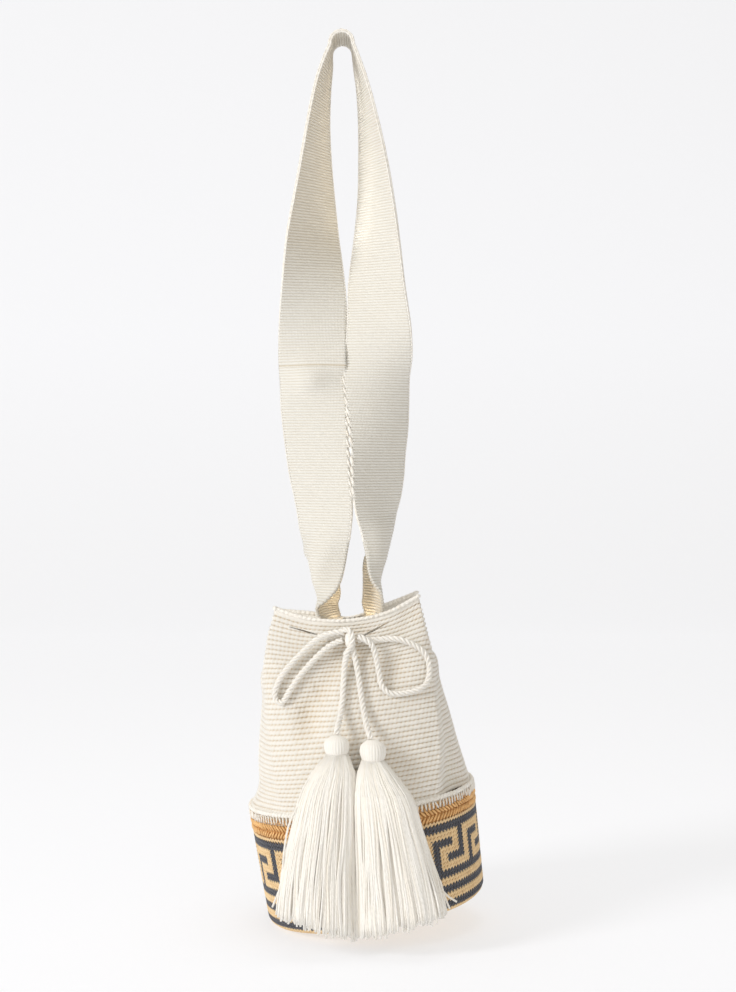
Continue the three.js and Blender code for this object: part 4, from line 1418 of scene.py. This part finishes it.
def tie_turn(k, neck):
    """One turn of the thread that ties a neck, tipped to one side and then to the other."""
    z, x, y, wide = neck[:4]
    ring = added(
        bpy.ops.mesh.primitive_torus_add,
        location=Vector((x, y + TIE["back"] * k, z + TIE["rise"] - TIE["pitch"] * k)) * MM,
        rotation=(TIE["tip_x"] * (-1) ** k, TIE["tip_y"] * (-1) ** k, 0),
        major_radius=(wide + TIE["out"]) * MM,
        minor_radius=TIE["thick"] * MM,
        major_segments=40,
        minor_segments=8,
    )
    bpy.ops.object.transform_apply(location=True, rotation=True, scale=True)
    bpy.ops.object.shade_smooth()
    return ring


def tassel_head(name, rows):
    """A head with the folds of its yarns over it, and the thread round its neck."""
    falls = np.linspace(-rows[0][0], -rows[NECK][0] + HEAD_LOWER, HEAD_RINGS)
    turn = np.linspace(0, 2 * math.pi, HEAD_FOLDS * FOLD_STEPS + 1)
    folds = 1 + FOLD_DEPTH * np.cos(turn * HEAD_FOLDS)
    points = tassel_form(rows, falls[:, None], turn[None], folds[None])
    points = capped(points, points[0].mean(0), points[-1].mean(0))
    # Painted shade in the hollows between the folds of the yarns.
    tone = np.tile(np.clip((1.0 - folds) * FOLD_SHADE, 0, FOLD_DARKEST), (len(points), 1))
    ball = sew(grid_sheet(name, points, tone))
    return join(name, [ball, *(tie_turn(k, rows[NECK]) for k in range(TIE_TURNS))])


print("heads:", HEAD_FOLDS, "folds and", TIE_TURNS, "turns of thread each")

# %% Tassel skirts
YARNS, LOCKS = 620, 34
YARN_RADIUS, YARN_STEPS, YARN_SIDES = 0.92, 15, 5
SKIRT_UP, SKIRT_SHORT, FALL_POWER = 2.2, 3.4, 0.85
OUTER_YARNS, OUTER_REACH, INNER_REACH = 0.66, (0.93, 1.0), (0.72, 0.93)
FULLER_BETWEEN = 0.07
CUT_PLAY, LONG_YARNS, LONGER_BY = 1.7, 0.06, 4
LOCK_PULL, DRIFT = 0.4, 0.05
WAVES, WAVE_STARTS, WAVE_SHARES = (4, 10), (0, 6.3), np.array([1, 0.8, 0.1])
LOCK_WAVER, YARN_WAVER = (0.4, 1.5), (0.15, 0.8)
CORE = {"rings": 14, "sides": 41, "reach": 0.9, "short": 2, "tone": 0.1}
STRAY_STEPS = 60
TUBE_SIDE = np.array([0.05, 1, 0.1])
TASSELS = [
    # side, sections, seed, the way to the other tassel
    ("left", TASSEL_LEFT, 11, 1),
    ("right", TASSEL_RIGHT, 23, -1),
]


def tubes(name, lines, radius, sides, tones):
    """Thin tubes along many lines of the same number of points, as one mesh."""
    steps = lines.shape[1]
    along = unit(np.gradient(lines, axis=1))
    side = unit(np.cross(along, TUBE_SIDE))
    up = np.cross(along, side)
    turn = np.arange(sides) * 2 * math.pi / sides
    round_it = side[:, :, None] * np.cos(turn)[:, None] + up[:, :, None] * np.sin(turn)[:, None]
    points = (lines[:, :, None] + radius * round_it).reshape(len(lines), -1, 3)
    corners, uvs, starts = [], [], []
    for k in range(steps - 1):
        for i in range(sides):
            j = (i + 1) % sides
            starts.append(len(corners))
            corners += [k * sides + i, k * sides + j, (k + 1) * sides + j, (k + 1) * sides + i]
            low, high = k / (steps - 1), (k + 1) / (steps - 1)
            uvs += [(i / sides, low), ((i + 1) / sides, low), ((i + 1) / sides, high), (i / sides, high)]
    for ring, order in ((0, range(sides - 1, -1, -1)), (steps - 1, range(sides))):
        starts.append(len(corners))
        corners += [ring * sides + i for i in order]
        uvs += [(0.5, float(ring > 0))] * sides
    return joined_mesh(name, points, np.array(corners), np.array(starts), np.array(uvs), tones)


def skirt_lines(rows, start, end, inner, play):
    """The yarns of a skirt: each falls in its lock, with the lock's waver and its own."""
    turn = play.uniform(0, 2 * math.pi, YARNS)
    outer = play.random(YARNS) < OUTER_YARNS
    share = np.where(outer, play.uniform(*OUTER_REACH, YARNS), play.uniform(*INNER_REACH, YARNS))
    share = share * (1 + FULLER_BETWEEN * np.clip(np.cos(turn) * inner, 0, 1))
    stop = end + play.normal(0, CUT_PLAY, YARNS)
    stop = stop + np.where(play.random(YARNS) < LONG_YARNS, play.uniform(0, LONGER_BY, YARNS), 0)
    down = np.linspace(0, 1, YARN_STEPS) ** FALL_POWER
    fall = start + (stop[:, None] - start) * down
    lock = np.round(turn * LOCKS / (2 * math.pi)).astype(int) % LOCKS
    gather = (lock * 2 * math.pi / LOCKS - turn + math.pi) % (2 * math.pi) - math.pi
    drift = gather * LOCK_PULL + play.normal(0, DRIFT, LOCKS)[lock] + play.normal(0, DRIFT, YARNS)
    lines = tassel_form(rows, fall, turn[:, None] + drift[:, None] * down, share[:, None])
    for count, owner, reach in ((LOCKS, lock, LOCK_WAVER), (YARNS, np.arange(YARNS), YARN_WAVER)):
        beat = play.uniform(*WAVES, (count, 1, 3)) * down[:, None]
        beat = beat + play.uniform(*WAVE_STARTS, (count, 1, 3))
        waver = play.uniform(*reach, (count, 1, 1)) * np.sin(beat) * np.sqrt(down)[:, None]
        lines = lines + waver[owner] * WAVE_SHARES
    return lines


def skirt_core(name, rows, start, end):
    """A plain form a little inside the yarns, so that nothing shows between them."""
    falls = np.linspace(start, end - CORE["short"], CORE["rings"])
    turn = np.linspace(0, 2 * math.pi, CORE["sides"])
    body = tassel_form(rows, falls[:, None], turn[None], np.full((1, CORE["sides"]), CORE["reach"]))
    body = capped(body, body[0].mean(0), body[-1].mean(0))
    return sew(grid_sheet(name, body, np.full(body.shape[:2], CORE["tone"])))


def tassel_skirt(name, rows, strays, seed, inner):
    """A skirt of yarns from the neck to the cut edge, with its stray yarns, over its core."""
    play = np.random.default_rng(seed)
    start, end = -rows[NECK][0] - SKIRT_UP, -rows[-1][0] - SKIRT_SHORT
    lines = skirt_lines(rows, start, end, inner, play)
    loose = []
    for route in strays:
        line = spline(np.array(route, float), np.linspace(0, len(route) - 1, STRAY_STEPS))
        loose.append(evenly(line, np.linspace(0, 1, YARN_STEPS)))
    lines = np.concatenate([lines, loose])
    tones = varied(0.08, 0.09, 0.4, len(lines), play)
    yarns = tubes(name, lines, YARN_RADIUS, YARN_SIDES, tones)
    return join(name, [yarns, skirt_core(name + "_core", rows, start, end)])


for side, rows, seed, inner in TASSELS:
    node = f"tassel_{side}"
    head = dress(tassel_head(f"{node}_head", rows), "white yarn", node)
    skirt = tassel_skirt(f"{node}_skirt", rows, STRAYS[side], seed, inner)
    dress(skirt, "white yarn", node)
    cords[f"cord_tail_{side}"] += (head,)

# %% [markdown]
# ## What the soft pieces are
# The cords are gathered above, each with its piece, line and length, how its far end is held and how it
# lies; the tails also with their tassels' heads. The drawstring comes out of the slits and back to the
# knot;
# the loops leave the knot and return to it; the tails hang from it and end in their tassels.

# %% The cords gathered
print("cords declared:", len(cords))

# %% Triangles shown
total = sum(len(piece.data.loop_triangles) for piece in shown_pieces())
print("triangles shown:", total)
